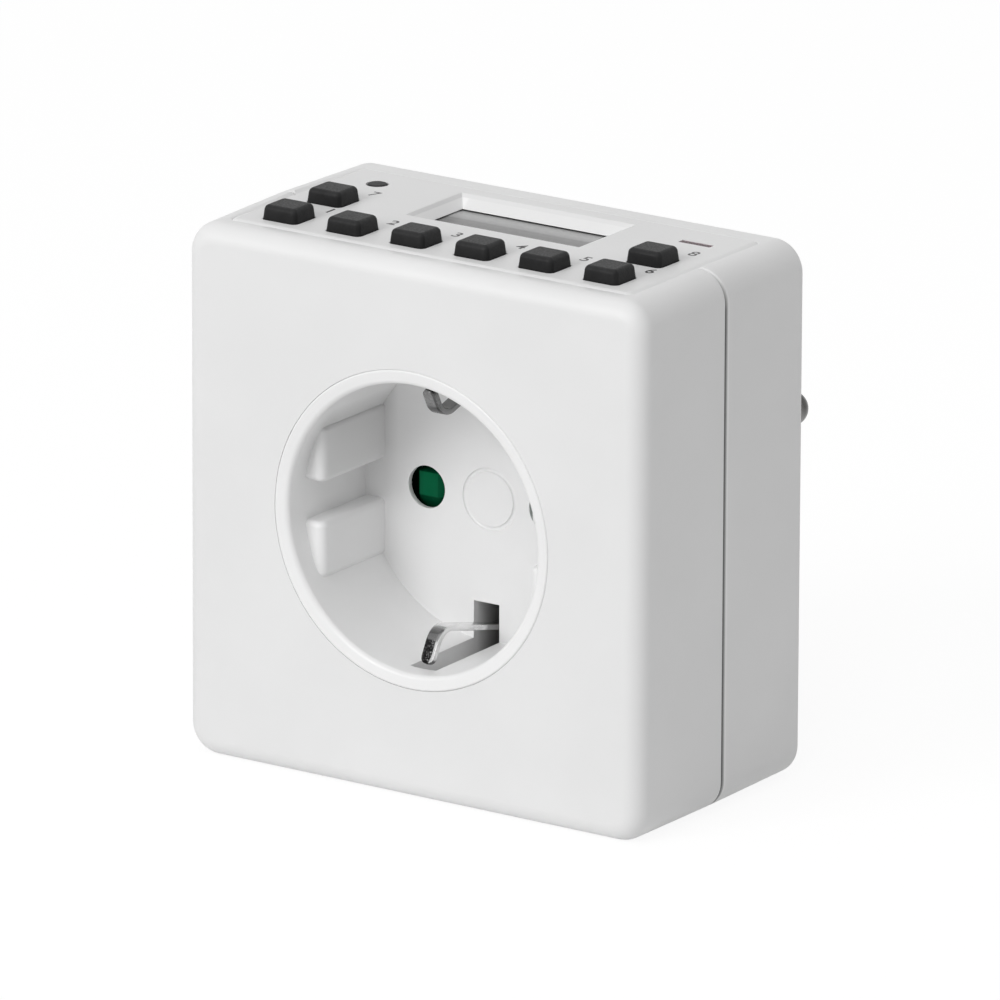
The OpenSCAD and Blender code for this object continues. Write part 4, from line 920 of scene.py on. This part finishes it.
def makeSpring(q, c):
    # a ring of wire wound up its axis
    ring = (q["width"] - q["wire"]) / 2
    setDown()
    bpy.ops.mesh.primitive_circle_add(vertices=8, radius=q["wire"] / 2 * mm, location=point(ring, 0, 0),
                                      rotation=(math.pi / 2, 0, 0))
    coil = bpy.context.object
    coil.name = "shutterSpring"
    settle()
    rise = q["high"] - q["low"] - q["wire"]
    useModifier(coil, "SCREW", axis="Z", iterations=q["turns"], screw_offset=rise / q["turns"] * mm,
                steps=24, render_steps=24, use_smooth_shade=True)
    edit(coil)
    chooseAll()
    bpy.ops.transform.translate(value=(0, (c["front"] + q["axisY"]) * mm, (q["low"] + q["wire"] / 2) * mm))
    bpy.ops.mesh.fill_holes(sides=8)
    leaveEdit()
    return tidyUp(coil)


shutterSpring = makeSpring(spring, casing)
place(shutterSpring, "casing", "spring_steel", springWire, "shutter_spring")
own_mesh(shutterSpring)
print("shutter spring made")


# earth strips
def makeStrip(name, width, thick, line, tipRound=0.0):
    # a plane one step long, then extruded along the line, thickened and softened
    setDown()
    first = line[0]
    bpy.ops.mesh.primitive_plane_add(size=width * mm, location=(0, 0, 0))
    strip = bpy.context.object
    strip.name = name
    edit(strip)
    choose("EDGE", liesAt(1, width / 2))
    bpy.ops.transform.translate(value=(0, -width * mm, 0))
    chooseAll()
    bpy.ops.mesh.remove_doubles(threshold=0.01 * mm)
    bpy.ops.transform.translate(value=(0, (first[0] + width / 2) * mm, first[1] * mm))
    for a, b in zip(line, line[1:]):
        bpy.ops.mesh.extrude_region_move(
            TRANSFORM_OT_translate={"value": (0, (b[0] - a[0]) * mm, (b[1] - a[1]) * mm)})
    if tipRound:
        choose("VERT", lambda v: any(abs(v.co.y - y * mm) + abs(v.co.z - z * mm) < 0.01 * mm
                                     for y, z in (line[0], line[-1])))
        bpy.ops.mesh.bevel(offset=tipRound * mm, segments=6, profile=0.5, affect="VERTICES",
                           clamp_overlap=False)
    chooseAll()
    bpy.ops.mesh.normals_make_consistent(inside=False)
    leaveEdit()
    useModifier(strip, "SOLIDIFY", thickness=thick * mm, offset=0, use_even_offset=True)
    return strip


socketStrip = {"width": 2.0, "thick": 0.8, "crest": 14.55, "bend": 2.7, "bendAt": 7.68, "lean": 152,
               "bendEnd": 76, "tip": 2.97, "tipRound": 0.85, "leg": 17.9, "back": 20.0, "turn": 1.0,
               "turnAt": 30.6, "upperDrop": 0.55, "upperTip": 2.5}


def socketClipLine(c, q):
    # tip, bend at the crest, leg to the socket's back, turn behind the carrier, then the same upwards
    f = c["front"]
    lean = math.radians(q["lean"])

    def half(crest, tip):
        bend = arcPoints(q["bendAt"], -crest - q["thick"] / 2 - q["bend"], q["bend"],
                         q["lean"], q["bendEnd"], 10)
        y, z = bend[0]
        line = [(f + y - tip * math.sin(lean), z + tip * math.cos(lean))]
        line += [(f + y, z) for y, z in bend] + [(f + q["back"], -q["leg"])]
        return line + arcPoints(f + q["turnAt"], q["turn"] - q["leg"], q["turn"], 270, 360, 5)

    upper = half(q["crest"] - q["upperDrop"], q["upperTip"])
    return half(q["crest"], q["tip"]) + [(y, -z) for y, z in reversed(upper)]


socketClip = makeStrip("socketEarthClip", socketStrip["width"], socketStrip["thick"],
                       socketClipLine(casing, socketStrip), socketStrip["tipRound"])
tidyUp(socketClip, edge=0.12, angle=40, smooth=45)
place(socketClip, "casing", "clip_nickel", nickelStrip, "socket_earth_clip")


plugStrip = {"width": 4.0, "thick": 0.8, "ends": [(-2.2, -18.0), (-3.4, -18.2)],
             "legs": [(48, -18.45), (42.4, -18.2), (41, -15.6)], "turn": 1.0, "turnAt": (33.4, -14.6)}


def plugClipLine(c, q):
    # ends counted from the plug's end face, legs and turn from the casing's front
    f = c["front"]
    y, z = q["turnAt"]
    half = q["ends"] + [(f + a, b) for a, b in q["legs"]] + arcPoints(f + y, z, q["turn"], 270, 180, 5)
    return half + [(y, -z) for y, z in reversed(half)]


plugClip = makeStrip("plugEarthClip", plugStrip["width"], plugStrip["thick"], plugClipLine(casing, plugStrip))
tidyUp(plugClip, edge=0.1, angle=40, smooth=45)
place(plugClip, "casing", "clip_nickel", plugStripNickel, "plug_earth_clip")
print("earth strips made")


# plug pins
plugPin = {"radius": 2.4, "tip": 19.0, "nose": 2.3, "tail": -8.8, "tailRadius": 2.0, "shoulder": 2.7,
           "flange": 3.7, "flangeStart": -4.5, "flangeEnd": -3.0}


def makePin(p):
    start, end = p["flangeStart"], p["flangeEnd"]
    pin = addRound("plugPin", p["radius"], end, p["tip"], sides=64)
    edit(pin)
    roundEdges(liesAt(1, p["tip"]), p["nose"], 14)
    leaveEdit()
    joinOn(pin, addRound("shoulder", p["shoulder"], end, 0, sides=64),
           addRound("pinFlange", p["flange"], start, end, sides=64),
           addRound("pinTail", p["tailRadius"], p["tail"], start + 0.1, sides=48))
    return tidyUp(pin, edge=0.08, smooth=40)


pinPattern = makePin(plugPin)
for node, side in (("plug_pin_left", -1), ("plug_pin_right", 1)):
    pin = copyOf(pinPattern, node.replace("_p", "P").replace("_l", "L").replace("_r", "R"),
                 (side * plugBody["pinSpread"], 0, 0))
    place(pin, "casing", "pin_nickel", nickelPin, node)
bpy.data.objects.remove(pinPattern, do_unlink=True)
print("plug pins made")


# display glass
# the film's tones are painted shade across the film, with a painted shadow at its rear edge
display = {"halfWidth": 15.1, "y0": -0.95, "y1": 12.75, "low": 32.1, "thick": 2.2, "step": 1, "rear": 10.45,
           "filmShadeTones": [(-6.0, 0.1), (-5.0, 0.115), (-4.3, 0.14), (-3.8, 0.15), (-3.2, 0.29), (-2.0, 0.39),
                     (-1.1, 0.34), (-0.75, 0.25), (-0.4, 0.12), (0, 0.05)]}


def displayFinish(d):
    # film seen through the glass, with painted shade: mid grey in front, lighter behind, and a painted shadow
    # along the rear edge
    paint, tree, shader = newFinish("displayFilm", rough=0.2)
    film = greys(tree, alongAxis(tree, "Y"), d["filmShadeTones"], casing["seam"] + d["rear"])
    grain = grainOn(tree, 1500, 4)
    cloud = greys(tree, grain, [(0.0, 0.88), (1.0, 1.12)], 0, 1)
    tree.links.new(times(tree, film, cloud), shader.inputs["Base Color"])
    bumpBy(tree, shader, grain, 0.002, 0.4)
    return paint


def makeGlass(d, c):
    low, mid, top = d["low"], d["low"] + d["thick"] / 2, d["low"] + d["thick"]
    lower = addBlock("lcdGlass", (-d["halfWidth"], c["seam"] + d["y0"], low),
                     (d["halfWidth"], c["seam"] + d["y1"], mid))
    joinOn(lower, addBlock("upperGlass", (-d["halfWidth"], c["seam"] + d["y0"] + d["step"], mid - 0.01),
                           (d["halfWidth"], c["seam"] + d["y1"] - d["step"], top)))
    return tidyUp(lower, edge=0.1, smooth=30)


glass = makeGlass(display, casing)
place(glass, "casing", "display_glass", displayFinish(display), "lcd_glass")
print("display made")


# small printed numbers behind the keys
numbers = {"size": 2.7, "bold": 0.03, "thick": 0.006, "lift": 0.004, "right": 2.5, "back": 5.7,
           "ink": (0.02, 0.02, 0.021)}


def makeNumbers(n):
    ink = mouldedPlastic("panelInk", n["ink"])
    made = []
    for count, (_, x, y) in enumerate(keys["places"], 1):
        setDown()
        bpy.ops.object.text_add(location=point(x + n["right"], casing["seam"] + y + n["back"],
                                               panel["top"] + n["lift"]))
        text = bpy.context.object
        text.data.body = str(count)
        text.data.size = n["size"] * mm
        text.data.offset = n["bold"] * mm
        text.data.align_x = "CENTER"
        text.data.align_y = "CENTER"
        text.data.extrude = n["thick"] * mm
        bpy.ops.object.convert(target="MESH")
        settle()
        made.append(bpy.context.object)
    setDown()
    for piece in made:
        piece.select_set(True)
    bpy.context.view_layer.objects.active = made[0]
    bpy.ops.object.join()
    printed = bpy.context.object
    printed.name = "keyNumbers"
    place(printed, "casing", "reset_black", ink)


makeNumbers(numbers)
print("numbers made")


# finishes of the pieces that keep their own shape
def patternOn(tree, kind, scale):
    where = tree.nodes.new("ShaderNodeTexCoord")
    pattern = tree.nodes.new(kind)
    pattern.inputs["Scale"].default_value = scale
    tree.links.new(where.outputs["Object"], pattern.inputs["Vector"])
    return pattern


def striped(name, dark, light, scale):
    paint, tree, shader = newFinish(name)
    bands = patternOn(tree, "ShaderNodeTexWave", scale)
    twoTone(tree, shader, bands.outputs["Fac"], dark, light, 0.4, 0.6)
    bumpBy(tree, shader, bands.outputs["Fac"], 0.03, 0.5)
    return paint


def boardFinish(name, dark, light):
    paint, tree, shader = newFinish(name, rough=0.4)
    cells = patternOn(tree, "ShaderNodeTexVoronoi", 420)
    cells.distance = "MANHATTAN"
    twoTone(tree, shader, cells.outputs["Distance"], dark, light, 0.25, 0.32)
    bumpBy(tree, shader, cells.outputs["Distance"], 0.02, 0.3)
    shader.inputs["Coat Weight"].default_value = 0.4
    return paint


def lampWindowFinish(q):
    # dark plum, with a painted highlight along the rear rim and at the ends
    paint, tree, shader = newFinish("lampWindowPlastic", rough=0.2)
    rear = casing["seam"] + q["y"] + q["halfDepth"]
    back = fitted(tree, alongAxis(tree, "Y"), (rear - 0.3) * mm, rear * mm)
    away = worked(tree, "ABSOLUTE", worked(tree, "SUBTRACT", alongAxis(tree, "X"), q["x"] * mm))
    end = fitted(tree, away, (q["halfWidth"] - 0.3) * mm, q["halfWidth"] * mm)
    twoTone(tree, shader, worked(tree, "MAXIMUM", back, end), q["dark"], q["rim"], 0.0, 1.0)
    shader.inputs["Specular IOR Level"].default_value = 0.15
    bumpBy(tree, shader, grainOn(tree, 900, 3), 0.003, 0.4)
    return paint


brass = metalSkin("contactBrass", (0.72, 0.52, 0.24), rough=(0.22, 0.36))
zinc = metalSkin("zincPlate", (0.62, 0.63, 0.66), rough=(0.25, 0.4))
cellSteel = metalSkin("cellSteel", (0.7, 0.71, 0.72), rough=(0.12, 0.2))
carrierPlastic = mouldedPlastic("carrierPlastic", (0.68, 0.65, 0.56))
boardTan = boardFinish("boardTan", (0.30, 0.19, 0.08), (0.38, 0.26, 0.12))
boardGreen = boardFinish("boardGreen", (0.012, 0.09, 0.035), (0.03, 0.16, 0.06))
relayPlastic = mouldedPlastic("relayPlastic", (0.02, 0.06, 0.22))
filmBox = mouldedPlastic("filmBox", (0.62, 0.42, 0.04), spread=0.02)
sleeve = mouldedPlastic("sleeveBlack", (0.01, 0.01, 0.012), rough=(0.2, 0.3), spread=0.003)
dipped = mouldedPlastic("dippedBlue", (0.02, 0.1, 0.36), rough=(0.2, 0.35))
resistorPaint = striped("resistorPaint", (0.32, 0.05, 0.03), (0.52, 0.4, 0.22), 90)
chipPlastic = mouldedPlastic("chipPlastic", (0.02, 0.02, 0.021), rough=(0.5, 0.65), spread=0.004)
framePlastic = mouldedPlastic("framePlastic", (0.7, 0.7, 0.7))
zebraRubber = striped("zebraRubber", (0.01, 0.01, 0.01), (0.05, 0.05, 0.052), 700)
matRubber = matteRubber("matRubber", (0.03, 0.03, 0.032))
ribbonGrey = striped("ribbonGrey", (0.35, 0.36, 0.38), (0.5, 0.51, 0.53), 260)
lampRed = mouldedPlastic("lampRed", (0.35, 0.012, 0.018), rough=(0.1, 0.2), spread=0.02)
wireBrown = mouldedPlastic("wireBrown", (0.12, 0.04, 0.015))
wireBlack = mouldedPlastic("wireBlack", (0.015, 0.015, 0.016), spread=0.004)
wireBlue = mouldedPlastic("wireBlue", (0.015, 0.06, 0.3))

keptNodes = {
    "contact_carrier": carrierPlastic, "carrier_screws": zinc, "live_contact": brass,
    "neutral_contact": brass, "neutral_bar": brass, "earth_rivet": brass, "pin_clamp": carrierPlastic,
    "clamp_screw": zinc, "live_in_wire": wireBrown, "live_out_wire": wireBlack, "neutral_wire": wireBlue,
    "power_board": boardTan, "relay": relayPlastic, "film_capacitor": filmBox,
    "electrolytic_capacitor": sleeve, "varistor": dipped, "series_resistor": resistorPaint,
    "backup_cell": cellSteel, "ribbon_cable": ribbonGrey, "display_board": boardGreen,
    "processor": chipPlastic, "crystal": cellSteel, "lcd_frame": framePlastic,
    "zebra_strips": zebraRubber, "keypad_mat": matRubber, "reset_key": resetPlastic, "lamp": lampRed,
    "lamp_window": lampWindowFinish(lampSlit), "case_screws": zinc,
}
for node, finish in keptNodes.items():
    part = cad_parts[node]
    part.data.materials.clear()
    part.data.materials.append(finish)
print("kept pieces finished")
